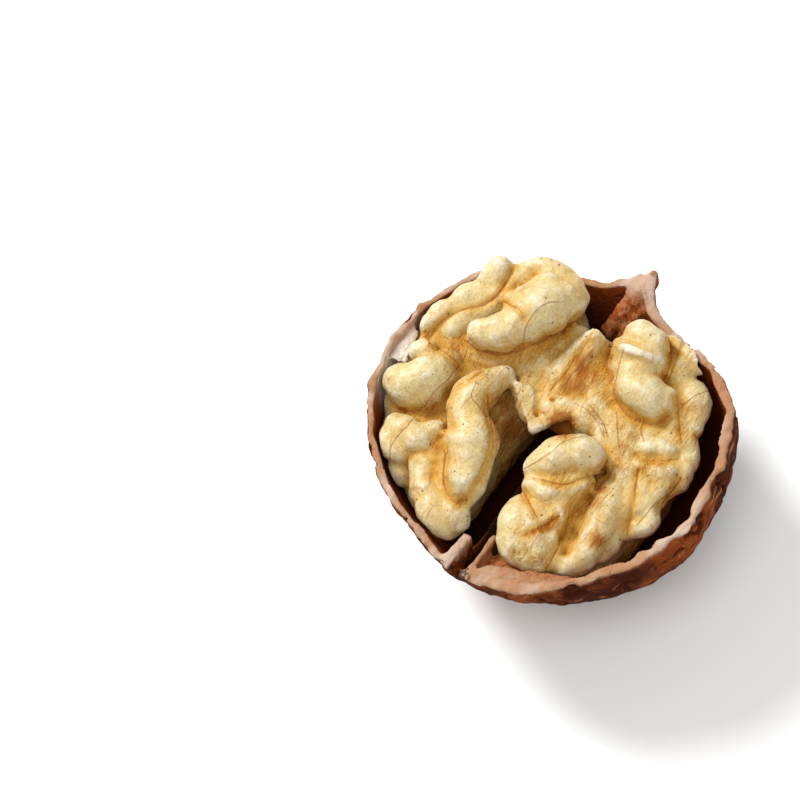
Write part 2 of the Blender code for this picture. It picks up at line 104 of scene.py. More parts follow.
# Slats of the shell's own wood: upper edge from the wall inwards, lower edge the same way, and width
SLATS = {
    "beak rib left": ([(19.6, 0.9, 17.3), (14.2, 2.2, 14.2), (18, 1.2, 12.8), (14.2, 2.4, 7)], 1.3),
    "beak rib right": ([(19, -0.4, 17), (13.6, 0.5, 13.2), (17.8, -0.3, 12.8), (13.6, 0.4, 6.4)], 1.1),
    "stem wall left": ([(-18.5, 1.5, 16.5), (-14.2, 1.4, 15.5), (-17.6, 1.5, 13.4), (-14.2, 1.4, 10.5)], 1.1),
    "stem wall right": (
        [(-18.2, -1.1, 16.2), (-12.7, -0.9, 15.2), (-17.4, -1.1, 13.2), (-12.9, -0.9, 9)], 0.6
    ),
    "stem shelf": ([(-18, -1.3, 15.9), (-16.3, -2.2, 15.4), (-16.2, -8, 16), (-14.3, -6.7, 15.1)], 0.8),
    "stem recess": ([(-17, -1.4, 14.5), (-13.2, -2, 13.4), (-15.8, -7.2, 14.6), (-13.6, -6, 13.6)], 0.6),
    "film": ([(4.2, 20.3, 16.7), (3.1, 18.9, 15.9), (-1.3, 20.4, 16.6), (-0.6, 18.3, 15.5)], 0.35),
    "stem shelf end": ([(-16.2, -8, 16), (-14.2, -6.6, 14.9), (-13.8, -12.2, 16.4), (-13, -11.2, 15.8)], 0.8),
}
# The notch in the rim at the stem, shaped like a slat
NOTCH = ([(-22, 0.3, 20), (-13, 0.3, 20), (-22, 0.3, 15.3), (-13, 0.3, 14)], 1.1)
# Swellings of the shell's wood, as chains of balls: x, y, z, radius
BEAK = {
    "web": [(19.4, 0.2, 16.6, 1.1), (18.4, 0.6, 15.9, 1.1)],
    "point": [(20.2, 0, 17.3, 0.95), (20.8, -0.2, 18, 0.7), (21, -0.3, 18.4, 0.5)],
}

# Each lobe's thick body, as balls: x, y, z, radius
LOBES = {
    "left": [(-9.5, 7.8, 11, 4.3), (-5, 10, 9.5, 6), (1, 11, 9, 7), (7, 9.5, 9.5, 6.5), (12, 8, 12, 4.5)],
    "right": [
        (-10, -7.6, 11, 3.8), (-5, -8, 10, 4.8), (1, -8.2, 9.6, 5.2), (7, -7.4, 10, 5), (11, -6.2, 12, 3.8),
    ],
}
# The kernel's folds as the eye follows them, ridge by ridge: x, y, z of the fold's middle, and its radius
FOLDS = {
    "rim strip": [
        (4.4, 18.4, 16.3, 1.05), (5.2, 18, 16.65, 1.4), (6.7, 17.3, 16.8, 1.5), (8.2, 16.6, 16.9, 1.55),
        (9.5, 15.8, 17.1, 1.6), (10.8, 15.1, 17.4, 1.65), (12.1, 14.7, 17.9, 1.7), (13.2, 14.5, 18.5, 1.55),
    ],
    "strip slope": [
        (4.8, 17, 15.6, 1.8), (5.8, 16.2, 15.8, 2.1), (7.3, 15.5, 16, 2.1), (8.9, 14.6, 16.3, 2.1),
        (10.4, 13.6, 16.6, 2.1), (12.2, 13.1, 17.2, 1.8), (13.6, 12.8, 17.8, 1.4),
    ],
    "top hump": [
        (14.5, 12.4, 17.8, 1), (15.1, 11.5, 18.4, 1.1), (15.5, 10.7, 18.6, 1.2), (15.7, 9.7, 18.6, 1.3),
        (15.6, 8.4, 18.4, 1.4), (15.2, 6.9, 18.1, 1.5), (14.6, 5.7, 17.6, 1.5),
    ],
    "hook": [
        (5.6, 11.8, 18.2, 1.9), (6.1, 11, 18.4, 2), (6.7, 10, 18.5, 2.2), (8.1, 9.2, 18.6, 2.5),
        (9.7, 8.5, 18.6, 2.8), (11.4, 7.8, 18.4, 2.9), (12.9, 7, 18, 2.8), (13.8, 6.2, 17.6, 2),
    ],
    "hook spur": [
        (10.7, 11.7, 18.6, 0.9), (10.4, 10.6, 18.7, 1.5), (10.9, 9.6, 18.7, 2.1), (12.1, 9.1, 18.7, 1.9),
        (13.6, 8.5, 18.5, 1.9),
    ],
    "side bulge high": [
        (-3.2, 18.5, 15.6, 1.3), (-3, 17.3, 16.2, 1.8), (-2.6, 15.9, 16.4, 2.2), (-1.6, 15, 16.6, 2.4),
        (-0.3, 14.3, 16.6, 2.3), (1.4, 14.2, 16.3, 1.9),
    ],
    "side bulge high toe": [
        (-3.7, 16.9, 15.4, 1.3), (-4, 15.7, 15.4, 1.3), (-3.4, 14.7, 15.7, 1.6), (-2.3, 14.1, 16, 1.8),
    ],
    "side bump": [(1.4, 17.6, 15.8, 1.3), (1.9, 16.9, 16, 1.4), (2.9, 17.7, 15.6, 1)],
    "side bulge low": [
        (-8.1, 15.2, 15.2, 1.2), (-9.2, 14.4, 15.2, 1.3), (-9.6, 13.3, 15, 1.4), (-9.3, 12.6, 14.8, 1.2),
    ],
    "side bulge low top": [
        (-7.1, 15.2, 15.3, 1.2), (-7.6, 13.7, 15.5, 1.7), (-7.8, 12.2, 15.4, 1.8), (-6.9, 11.6, 15.4, 1.6),
        (-5.7, 10.9, 15.6, 1.2),
    ],
    "low strip": [
        (-9.7, 10.4, 15, 1.3), (-10.6, 9.4, 15.2, 1.5), (-11.8, 8.9, 15.2, 1.35), (-12.6, 7.3, 15.4, 1.6),
        (-13.6, 6.2, 15.2, 1.8), (-14.2, 5, 14.8, 1.7), (-14.5, 4.1, 14.4, 1.2),
    ],
    "slit ridge left": [
        (3, 7.6, 16.6, 1.2), (1.8, 8.2, 17, 1.6), (0.2, 8.7, 17.4, 2), (-1.5, 9, 17.6, 2.2),
        (-3, 8.4, 17.5, 2.2), (-4.3, 7.4, 17.3, 2.3), (-5.5, 6.3, 17.2, 2.7), (-6.9, 5.7, 17, 2.6),
        (-8.4, 5.1, 16.7, 2.4), (-9.8, 4.6, 16.3, 2.1), (-10.9, 4.3, 15.6, 1.7),
    ],
    "slit ridge left toe": [
        (-5.9, 8.7, 16.4, 1.2), (-12.4, 4.6, 15.2, 1.9), (-13.1, 3.8, 14.7, 1.5), (-14.3, 3.8, 14.2, 1.1),
    ],
    "valley left a": [
        (-3, 13.4, 13.9, 2), (-1.4, 13.3, 14.3, 1.8), (0.8, 12.9, 14.2, 2), (2.5, 12.7, 14.4, 2.1),
        (3.6, 15, 14.6, 1.9),
    ],
    "valley left b": [
        (4.7, 13.4, 14.8, 2.2), (4.7, 10.9, 14.7, 2.2), (5.9, 9, 15, 2.2), (7.7, 7.6, 15.2, 2.2),
        (9.4, 6.7, 15.2, 2),
    ],
    "valley left c": [
        (-5.4, 13.7, 13.6, 2.2), (-6.5, 10.6, 13.8, 2), (-8.2, 9.3, 14, 2), (-9.9, 7.9, 14, 2),
        (-11.3, 6.4, 13.8, 2),
    ],
    "valley left d": [
        (4, 18.3, 13.8, 2), (0.7, 19.1, 13.2, 1.8), (-3.6, 17.6, 12.8, 1.8), (-10.4, 12.4, 12.8, 1.8),
    ],
    "crest base": [
        (11.3, 1.9, 15.9, 1.2), (9.8, 2.3, 15.3, 1.4), (7.9, 2.5, 14.9, 1.5), (5.9, 2.8, 14.7, 1.5),
    ],
    "crest left slope": [
        (11.2, 3.9, 14.7, 1.9), (9.6, 4.7, 14.8, 2), (7.5, 5.3, 14.8, 2), (5.9, 6, 14.7, 1.9),
        (5.5, 7.5, 14.7, 1.7),
    ],
    "crest right slope": [
        (10, 0.2, 14.6, 1.9), (8.1, 0.3, 14.4, 2), (6.2, 0.4, 14.4, 2), (8, -1.4, 14.7, 2.2),
        (5.9, -2.4, 14.8, 2.3), (3.8, -2.3, 14.6, 2.3),
    ],
    "bristly strip": [(11.8, 0.7, 14.9, 1.1), (10.8, -0.4, 15, 1.3), (9.3, -1.4, 15.2, 1.3)],
    "flap left": [(2.6, 5.5, 15.8, 1), (0.9, 3.5, 15.4, 1)],
    "flap middle": [
        (4.1, 5.1, 15.1, 1.5), (3.1, 3.8, 15, 1.45), (2.2, 2.9, 15, 1.35), (3.8, 2.7, 15.05, 1.4),
        (5, 2.1, 15.1, 1.5),
    ],
    "flap tip": [(1.4, 2.7, 14.9, 1.1), (-0.1, 2.3, 15.2, 0.6)],
    "flap right": [
        (2.4, 1.7, 15.6, 0.9), (3.6, 0.4, 15.7, 1.1), (4.2, -0.9, 15.5, 1.3), (3.5, -2.5, 15.4, 1.3),
    ],
    "bridge": [(5.5, 5.1, 13.4, 2.3), (4.3, 2.3, 13.2, 2.3), (3.8, -0.5, 13, 2.4), (3.7, -3.3, 13, 2.4)],
    "slit ridge right top": [
        (-4.4, -1.3, 16.6, 1.6), (-3.4, -2.2, 17.1, 2), (-2.2, -3.2, 17.5, 2.1), (-1.3, -4.4, 17.6, 2.2),
        (-1, -5.4, 17.4, 1.9),
    ],
    "slit ridge right": [
        (-6.3, -2.2, 16.4, 1.5), (-6.2, -3.7, 16.6, 1.8), (-5.3, -4.9, 16.6, 1.9), (-3.9, -5.8, 16.4, 1.5),
    ],
    "slit ridge right low": [(-6.6, -5.3, 16, 1.7), (-8.2, -5.6, 15.8, 1.5), (-9.6, -5.6, 15.6, 1.5)],
    "scar lip": [
        (-10.9, -3.6, 16.1, 0.9), (-10.2, -4.2, 16.4, 1), (-9.3, -4.9, 16.5, 1.05), (-8.3, -5.4, 16.1, 0.9),
    ],
    "stem bulge right": [
        (-9.3, -2, 15.8, 1.7), (-11.3, -2.6, 15.7, 2), (-12.6, -3.6, 15.3, 1.9), (-13, -5.1, 15, 1.8),
    ],
    "stem bulge right low": [
        (-9.5, -3.2, 15.8, 1.9), (-11.3, -4.7, 15.7, 2.1), (-12.6, -6.1, 15.1, 1.7), (-12, -7, 14.9, 1.5),
        (-11, -6.3, 15.4, 1.7),
    ],
    "groove floor": [
        (-2.6, -7, 14.2, 1.6), (-5.1, -7.3, 13.9, 1.7), (-7.6, -7.7, 13.7, 1.7), (-10.1, -8.1, 13.4, 1.7),
    ],
    "groove rib": [
        (-2.7, -9, 15.1, 1.6), (-4.4, -9.3, 15.4, 1.7), (-6.1, -9.7, 15.4, 1.8), (-7.8, -10, 15.2, 1.8),
        (-9.3, -10, 14.9, 1.6), (-10.7, -9.8, 14.4, 1.5), (-11.9, -8.8, 14.2, 1.4),
    ],
    "field rib a": [(5.4, -2.4, 15.8, 1.3), (3.7, -4.1, 15.7, 1.3), (1.7, -5.3, 15.4, 1.3)],
    "field rib b": [(4.8, -4.6, 15.8, 1.2), (2.6, -6, 15.7, 1.2), (0.4, -7.1, 15.4, 1.2)],
    "margin rib a": [(12, -7.1, 16.6, 0.9), (11.8, -8.5, 16.5, 0.7), (12, -10, 16.2, 0.6)],
    "margin rib b": [(10.1, -8.7, 16.3, 0.8), (10, -10.1, 16.4, 0.7), (10.4, -11.5, 16.2, 0.6)],
    "field rib c": [(4.9, -6.6, 15.9, 1.2), (3.1, -7.6, 15.7, 1.2), (1.1, -8.6, 15.5, 1.3)],
    "lens": [
        (2.8, -9.3, 15.8, 1.1), (3.5, -9.9, 15.95, 1.35), (3.9, -10.8, 15.95, 1.35), (4.1, -11.7, 15.8, 1.05),
    ],
    "knob top": [
        (13.6, -2, 17.4, 1.5), (13.6, -2.9, 18, 1.9), (13.4, -4.1, 17.9, 1.8), (13.2, -5.2, 17.4, 1.3),
    ],
    "knob waist": [
        (11.6, -2.4, 17.4, 1.9), (11, -3.9, 17.8, 2.2), (11.4, -5.2, 17.6, 1.9), (9.8, -3.4, 17.2, 2),
        (9.8, -4.7, 17.5, 2.2),
    ],
    "knob boot": [
        (8.1, -5, 17.1, 2.1), (8.1, -6.1, 17.3, 2.3), (7.9, -7.6, 17.2, 2.2), (8.4, -8.3, 16.9, 1.9),
        (9.2, -8.6, 16.6, 1.1),
    ],
    "knob ridge": [
        (11, -1.7, 19, 0.5), (10.7, -3.6, 20.1, 0.55), (11, -5.2, 19.9, 0.55), (11.7, -6.4, 18.8, 0.5),
    ],
    "margin edge a": [
        (15.9, -4.8, 16.2, 1), (15.8, -5.9, 16.2, 1.1), (15.3, -7.3, 16.2, 1.15), (14.8, -8.8, 16.2, 1.05),
        (14.5, -9.5, 16.1, 0.9),
    ],
    "margin edge b": [(11.3, -10.5, 15.4, 1.8), (9.8, -11.5, 15.3, 1.8), (8.1, -12, 15.2, 1.6)],
    "margin edge c": [
        (6, -12.2, 15, 1.7), (5.3, -13.6, 15, 1.1), (3.7, -13.7, 14.9, 1.3), (2.1, -14, 14.7, 1.2),
    ],
    "margin edge d": [(1, -13.2, 14.8, 1.4), (-0.4, -12.8, 14.9, 1.5), (-1.7, -12.9, 14.8, 1.3)],
    "margin edge e": [
        (-2.5, -13.4, 14.7, 1.1), (-3.6, -13.8, 14.5, 1.1), (-4.5, -13.1, 14.5, 1.1), (-5.1, -12.4, 14.4, 1),
    ],
    "margin edge f": [(-5.5, -11.2, 14.6, 1.3), (-7.1, -11.2, 14.4, 1.3), (-8.7, -11.1, 14.2, 1.3)],
    "margin field a": [
        (12.8, -7.5, 15.3, 1.8), (11.1, -9, 15.1, 2), (9.1, -10.1, 15.1, 2), (7.1, -10.6, 14.9, 2),
        (5.2, -10.9, 14.6, 2),
    ],
    "margin field b": [
        (6.5, -9.1, 14.9, 2), (4.4, -8.1, 14.7, 2), (5.6, -5.6, 14.9, 2), (3.3, -5.9, 14.9, 2),
        (1.4, -7.2, 14.8, 2),
    ],
    "margin field c": [
        (1.3, -9.9, 14.9, 2), (1.4, -11.5, 14.9, 2), (2.6, -12.2, 14.8, 2), (-0.1, -9, 14.9, 1.8),
        (-1, -11, 14.8, 1.9),
    ],
    "low valley": [
        (-5.1, -6.8, 14.4, 1.6), (-6.8, -7.1, 14.3, 1.6), (-8.5, -7.3, 14, 1.6), (-9.8, -7.5, 13.8, 1.6),
    ],
    "hump base": [(13.3, 12.6, 17, 1.4), (13.7, 11.4, 17.3, 1.5)],
    "margin pit": [(14.9, -5.9, 15.4, 1.4), (13.9, -6.9, 15.3, 1.4)],
    "margin field d": [
        (-2.5, -11.8, 14.6, 1.8), (-3.1, -10.4, 14.8, 1.7), (-4.5, -10.4, 14.6, 1.7),
        (-1.4, -12.1, 14.8, 1.7),
    ],
}
# Sharp folds of the kernel, as slats
PLATES = {
    "crest right face": ([(2.8, 2.6, 15.9), (12.3, 1.7, 18), (5.5, 0.1, 15.2), (10, 0, 16.1)], 0.7),
    "crest left face": ([(2.8, 2.6, 15.9), (12.2, 1.8, 18), (3.8, 5.3, 15.4), (10.3, 4.1, 15.6)], 0.7),
    "frayed tip": ([(12.3, 1.7, 18), (12.1, 0.1, 16.9), (10, 0, 16.1), (10.9, -0.8, 15.9)], 0.5),
    "flap left": ([(2.9, 6.8, 16.8), (3.4, 4.3, 16.5), (-1.1, 2, 15.9), (-0.9, 1.4, 15.9)], 0.8),
    "flap right": ([(2.7, 2.3, 16.3), (4.8, -0.7, 16.4), (-1.2, 1.8, 15.9), (3.3, -1.5, 16)], 0.8),
}
# Marks in the skin and painted shade, in millimetres across and up on a plane that squarely faces the
# picture's view
# The sharp creases between folds, with painted shade along them
CREASES = [
    [
        (-4, 16.7), (-4.7, 15.3), (-5.4, 14.2), (-6.2, 13.4), (-7.3, 12.8), (-8.9, 12.6), (-10.6, 11.9),
        (-11.6, 11.1), (-12.4, 10.2), (-12.7, 9.5),
    ],
    [(-12.5, 8.8), (-11.6, 8.2), (-10.7, 7.7), (-9.9, 6.9), (-9.5, 6.2)],
    [
        (-10.3, 0.3), (-11.2, -0.4), (-11.5, -1.3), (-11.2, -2.3), (-11, -3.2), (-11.3, -4.2), (-11.3, -5.5),
        (-11, -6.7), (-10.4, -7.6), (-9.6, -8),
    ],
    [(-7.6, 5.7), (-9, 4.8), (-10.3, 4.2), (-10.7, 2.9), (-11, 1.7), (-10.3, 0.3)],
    [
        (-6.6, 3.1), (-6.6, 1.9), (-6.3, 0.4), (-6, -0.9), (-6.2, -2.5), (-6.9, -4.2), (-7.6, -5.7),
        (-8.5, -7), (-9.6, -8),
    ],
    [(-8.9, 9.1), (-7.4, 8.1), (-5.3, 7.6), (-3.2, 8.1), (-1, 9), (0.5, 9.9), (1.8, 10.6), (3, 11.7)],
    [(-4.7, 13.2), (-4, 12.8), (-3.1, 12.2), (-2.8, 11.5)],
    [(3.9, 9.1), (2.6, 7.5), (1.5, 5.7), (0.2, 4.3)],
    [
        (6.9, 10.2), (6.4, 8.7), (5.8, 7.1), (5.9, 5.9), (6.5, 4.4), (6.8, 2.9), (7.4, 1.9), (8.4, 1.1),
        (10.1, 0.4), (11.4, 0.5), (12.4, 1.4),
    ],
    [(12.3, 9.2), (12.6, 8), (12.4, 6.6), (11.9, 5.2)],
    [(13.1, 3.1), (13.2, 1.9), (13.4, 0.3), (13.5, -1.2)],
    [(5.4, -4.7), (4.3, -5), (3.3, -5.2), (2.5, -5.6), (1.6, -5.9), (0.4, -5.8), (-0.6, -5.5)],
    [
        (5.7, -3.6), (5.1, -4.6), (4.4, -5.6), (3.7, -7), (2.8, -8.4), (2.1, -9.7), (1.4, -11.1),
        (0.7, -12.4), (0.1, -13.6), (-0.4, -14.6),
    ],
    [(3.3, -6.7), (2.5, -7.5), (2, -8), (1.8, -9.3), (1.5, -10.5)],
    [(-2.9, -6.7), (-2.4, -7.5), (-2, -8.4), (-1.6, -9.1)],
    [(-2.8, -11.2), (-2, -10.8), (-1, -10.3), (-0.3, -10), (0.6, -9.4)],
    [(9, -2.8), (9.6, -3.4), (11.4, -3.4), (12.7, -3.3)],
    [(9.1, -4.4), (8.8, -6), (8.7, -7.5), (8.3, -9.2), (8, -10.8)],
    [(13.4, -5.4), (12.8, -6.3), (12.1, -7.3), (11.4, -8)],
    [(-16.1, 2), (-15, 1.7), (-14, 1.8)],
]
# Thin brown veins
VEINS = [
    [
        (-10.1, 6), (-10.8, 5), (-11.6, 4.4), (-12.5, 3.5), (-13.1, 2.5), (-13.9, 1.8), (-14.6, 0.7),
        (-15.4, -0.2), (-16.4, -1.2), (-16.8, -2), (-16.9, -2.8),
    ],
    [(0.9, 13.2), (-0.2, 13.2), (-1.3, 12.6), (-2.2, 11.4), (-2.8, 10.2), (-2.9, 8.6)],
    [(7.5, 7.9), (7, 6.1), (6.6, 4.2)],
    [(-2.4, -4.1), (-1.1, -3.3), (0.1, -2.5), (0.9, -1.7), (2.2, -1), (4.1, -0.8)],
    [(13.6, -5.6), (12.5, -6.6), (11.8, -7.7)],
    [(10.6, -8.2), (9.8, -9.2), (9.1, -10)],
    [(2.8, 2.4), (3.9, 1.8), (4.8, 0.7), (5.5, -0.7)],
    [(4.3, 2.1), (5.4, 0.8), (5.9, -0.6)],
    [(6.9, 1.2), (7.1, -1.8)],
    [(9.6, 0.4), (9.4, -0.3), (9.6, -1)],
    [(14.5, 10.2), (13.4, 8.6), (13, 6.9), (12.2, 5)],
    [(16.1, 3.8), (14.9, 3.4), (13.8, 2.3)],
    [(-11, -2.8), (-11.3, -3.6), (-11.3, -5.5)],
    [(-7.9, 4.6), (-8.5, 3.2), (-7.6, 2.5), (-6.8, 1.1)],
    [(0.9, -11.7), (0.5, -13), (-0.3, -14.4)],
]
# Where the skin is darker, from real stains and from painted shade: across, up, radius, strength
STAINS_AND_SHADE = [
    (-4.8, 2.4, 2.8, 0.8), (-4.3, -0.2, 2.4, 1), (14.1, 8.6, 1.6, 0.5), (14.7, 5.9, 2.2, 0.5),
    (14.9, 1.9, 2.4, 0.5), (13.8, -1.2, 1.8, 0.5), (1.2, 0.4, 1.6, 1.5), (-2.2, -11.7, 2.2, 0.5),
    (-3.2, -10.7, 1.6, 0.45), (0.1, 3, 0.3, 1.3), (-0.7, 1.7, 0.2, 1.2), (-1.6, 1.3, 0.16, 1.2),
    (-2.3, 5.4, 0.25, 1.2), (0.9, 0.3, 1.6, 0.9), (3, 6.9, 1.3, 1), (1.8, 5.2, 1.1, 0.9),
    (4.3, 5.5, 1.6, 0.9), (6, 8, 1.2, 0.7), (5.1, 3.8, 1.8, 0.5), (0.4, 8, 2.2, 0.55), (-2.7, 5.2, 1.4, 0.6),
    (-4.1, 7.1, 1.6, 0.5), (7.4, 0, 1.2, 0.5), (8.7, 0, 1.2, 0.5), (10.3, -4.2, 1.6, 0.5),
    (0.9, -5.4, 1.4, 0.6), (-7, 5.5, 1.2, 0.5), (2.8, 4.6, 1.4, 1), (3.3, 5.9, 1.7, 1), (2.4, 4.4, 1.5, 1),
    (4.1, 7.7, 1, 0.8), (0.9, 5.9, 2.6, 0.4), (-2.2, 6.9, 2.8, 0.35), (4.1, 1.9, 2.2, 0.45),
    (-5.5, 2.9, 1, 0.9), (-5.7, 0.8, 0.9, 0.9), (-12.5, 2.1, 1.5, 0.8), (-11.8, -2.1, 0.9, 0.9),
    (-10, 8.6, 1.4, 0.8), (-13.1, 9.9, 0.6, 1), (-0.6, 8.7, 1.6, 0.6), (0.2, -9.9, 0.6, 1),
    (-0.4, -10.3, 0.6, 1.2), (-1.1, -10.6, 0.55, 1.2), (-1.8, -10.9, 0.5, 1.1), (-2.5, -11.2, 0.45, 0.9),
    (4.3, -7.5, 1.4, 0.9), (5.1, -6.2, 1.3, 0.85), (6.2, -5.1, 1.2, 0.75), (7.4, -4.2, 1.2, 0.7),
    (9.8, -4.1, 0.9, 0.8), (11.6, -3.9, 0.9, 0.7), (7.6, -2.1, 1.3, 0.7), (8.5, -0.8, 1.1, 0.7),
    (15, -1, 1, 0.8), (4.8, -11.8, 1.2, 1), (11.1, -6, 1, 0.5), (-2.7, -12.8, 0.9, 0.6),
    (-1.9, -13.8, 0.8, 0.8), (0.5, -9.6, 0.7, 1), (-1.1, -13.6, 0.8, 0.8), (-3.9, -13, 1.2, 0.6),
    (4.1, -7.3, 1.1, 0.8), (3.2, -8.8, 1, 0.8), (2.2, -10.7, 0.9, 0.7), (1.2, 0, 1.3, 0.8),
    (14.5, -5.8, 0.9, 0.5), (5.4, -12, 1, 0.6), (-9.5, -7.4, 1.1, 0.7), (-8.1, -5.5, 0.8, 0.5),
    (-10.1, -9.7, 1.2, 0.5), (1.5, -5.6, 1.6, 0.5), (10.8, 6.6, 1.2, 0.35), (-9.3, 8, 2, 0.5),
    (-14.6, -3.2, 1.1, 0.6), (11.4, -3.6, 1.2, 0.4), (12.6, -6, 0.7, 0.5), (-10.6, 6.6, 1.6, 0.4),
]

# Surfaces roughened by noise: how high in millimetres, how fine along x, y and z, and where the noise starts
ROUGHNESS = {
    "furrow course": (1, (0.13, 0.26, 0.3), (0, 0, 0)),
    "furrow branches": (0.5, 0.55, (7, 3, 1)),
    "lumps": (0.3, 0.3, (3, 9, 4)),
    "pits": (0.16, 1, (1, 5, 2)),
    "lining": (0.1, 0.5, (2, 2, 8)),
    "strands": (0.15, (1.6, 1.6, 0.35), (8, 1, 3)),
    "chips": (0.16, 0.9, (5, 1, 7)),
    "fine chips": (0.07, 2.2, (1, 1, 7)),
    "outer wave": (1, (0.5, 0.5, 0), (6, 6, 1)),
    "inner wave": (1, (0.6, 0.6, 0), (2, 7, 4)),
    "swellings": (0.2, 0.45, (0, 0, 0)),
    "small swellings": (0.1, 0.95, (4, 4, 4)),
    "wrinkles": (0.04, 2.3, (0, 0, 0)),
    "torn edge": (0.35, (0.9, 0, 0), (0, 3, 1)),
    "small tears": (0.15, (2.7, 0, 0), (0, 1, 8)),
    "bow": (0.22, (0.25, 0, 0.3), (0, 0, 0)),
    "small bow": (0.07, (1, 0, 1), (0, 5, 0)),
}
# Where the skin over the lining and the painted shade in the stem's notch lie: degrees and half widths, and a
# place
FILM, FILM_SPECK = (91, 13), (133, 4)
NOTCH_SHADE_SPOT, NOTCH_SHADE_SIZE = (-18.6, -0.3, 15.3), 1.6

# The partition: where it runs seen from above, and how high its upper edge stands
PARTITION_LINE = [(-15.2, 0.3), (-12, 0.3), (-6, 0.7), (0, 1), (6, 0.8), (11, 0.3)]
PARTITION_TOP = [(-15.2, 15.2), (-12, 14.3), (-9, 13.6), (-6, 12.7), (0, 10.5), (5, 8.5), (11, 7.2)]
# How far it stays off the lining, and its least height
PARTITION_CLEARANCE, PARTITION_LEAST = 0.35, 0.5
# Where the lining is looked for under it: from, to and at how many heights, and its height if it isn't found
LINING_HEIGHTS, LINING_TOP = (0.5, 16, 120), 13.0

# The camera: where it stands round the nut, and where it puts the middle of the rim's level in the picture
PICTURE = 800
AIM = Vector((0, 0, 17)) * MM
AIM_PIXEL = (551, 428)
METRES_PER_PIXEL = 0.105 * MM
LENS = 100
READING = (math.radians(62), math.radians(-51.2), math.radians(8))
SENSOR = 36
DISTANCE = LENS / SENSOR * PICTURE * METRES_PER_PIXEL
# The lights: where each stands, its width, power and colour
LIGHTS = {
    "key light": ((0.12, 0.50, 0.48), 0.24, 5.5, (1.0, 0.99, 0.97)),
    "top light": ((-0.25, -0.05, 0.75), 0.5, 2.0, (1.0, 0.99, 0.97)),
    "low light": ((-0.2, -0.6, 0.3), 0.4, 0.9, (1.0, 0.98, 0.95)),
}
ROOM_LIGHT = 0.52


def linear(red, green, blue):
    """A colour read as 0 to 255 on a screen, as the linear numbers that shading uses."""
    return tuple(((c / 255 + 0.055) / 1.055) ** 2.4 if c > 10 else c / 3294.6 for c in (red, green, blue))


# Sizes and colours that a user would change

def length(name, description, default):
    return FloatProperty(
        name=name, description=description, default=default, min=0, unit="LENGTH", precision=5
    )


def colour(name, description, default):
    return FloatVectorProperty(
        name=name, description=description, default=default, subtype="COLOR", size=3, min=0, max=1
    )


class WalnutShellSettings(bpy.types.PropertyGroup):
    wall: length("Wall", "Thickness of the split wall", 0.00125)
    voxel: length("Fineness", "Size of the mesh's cells", 0.00027)
    furrow: length("Furrow depth", "Depth of the furrows outside", 0.0005)
    # Dark is the shell's own dark brown, also painted as shade deep in the lining and on the beak's ribs, and
    # partly as shade in the furrows
    dark: colour("Dark", "Shell in its furrows", linear(60, 22, 7))
    ruddy: colour("Ruddy", "Shell outside", linear(134, 64, 26))
    ridge: colour("Ridge", "Worn ridges outside", linear(172, 112, 70))
    split: colour("Split face", "Pale wood of the split wall", linear(160, 124, 94))
    lining: colour("Lining", "Lining of the hollow near the rim", linear(150, 72, 28))
    film: colour("Film", "Papery film left on the lining", linear(246, 238, 228))


class WalnutKernelSettings(bpy.types.PropertyGroup):
    voxel: length("Fineness", "Size of the mesh's cells", 0.00026)
    clearance: length("Clearance", "Room left between the kernel and the shell", 0.00045)
    cream: colour("Cream", "Skin on the slopes", linear(204, 187, 134))
    # Pale is painted highlight, laid on the kernel's ridges
    pale: colour("Pale", "Skin on the ridges", linear(226, 221, 202))
    # Ochre is partly the skin's own warmer tone, partly painted shade in the creases and hollows
    ochre: colour("Ochre", "Skin in the creases", linear(196, 150, 62))
    # Brown is painted shade deep in and along the creases, and the colour of the stains and painted shade of
    # the stain table, veins and mottling
    brown: colour("Brown", "Skin deep in the creases and over stains", linear(146, 80, 16))
    vein: colour("Vein", "Veins and specks", linear(104, 52, 10))


class WalnutPartitionSettings(bpy.types.PropertyGroup):
    thickness: length("Thickness", "Thickness of the dry plate", 0.0005)
    bark: colour("Bark", "Dry plate", linear(70, 38, 20))


class WalnutStageSettings(bpy.types.PropertyGroup):
    elevation: FloatProperty(
        name="Elevation", description="Camera above the horizon", default=READING[0], subtype="ANGLE"
    )
    azimuth: FloatProperty(
        name="Azimuth", description="Camera round the nut", default=READING[1], subtype="ANGLE"
    )
    roll: FloatProperty(name="Roll", description="Tilt of the camera", default=READING[2], subtype="ANGLE")
    lens: FloatProperty(name="Lens", description="Focal length in millimetres", default=LENS)
    floor: length("Floor", "Width of the floor", 3.0)


class WalnutSettings(bpy.types.PropertyGroup):
    shell: PointerProperty(type=WalnutShellSettings)
    kernel: PointerProperty(type=WalnutKernelSettings)
    partition: PointerProperty(type=WalnutPartitionSettings)
    stage: PointerProperty(type=WalnutStageSettings)


# Shader maths

class Value:
    """A socket that carries numbers: maths on it adds Math nodes."""

    def __init__(self, paint, socket):
        self.paint = paint
        self.socket = socket

    def math(self, operation, first, second=None):
        return self.paint.node("Math", {"operation": operation}, {0: first, 1: second})

    def __add__(self, other):
        return self.math("ADD", self, other)

    __radd__ = __add__

    def __sub__(self, other):
        return self.math("SUBTRACT", self, other)

    def __rsub__(self, other):
        return self.math("SUBTRACT", other, self)

    def __mul__(self, other):
        return self.math("MULTIPLY", self, other)

    __rmul__ = __mul__

    def __abs__(self):
        return self.math("ABSOLUTE", self)


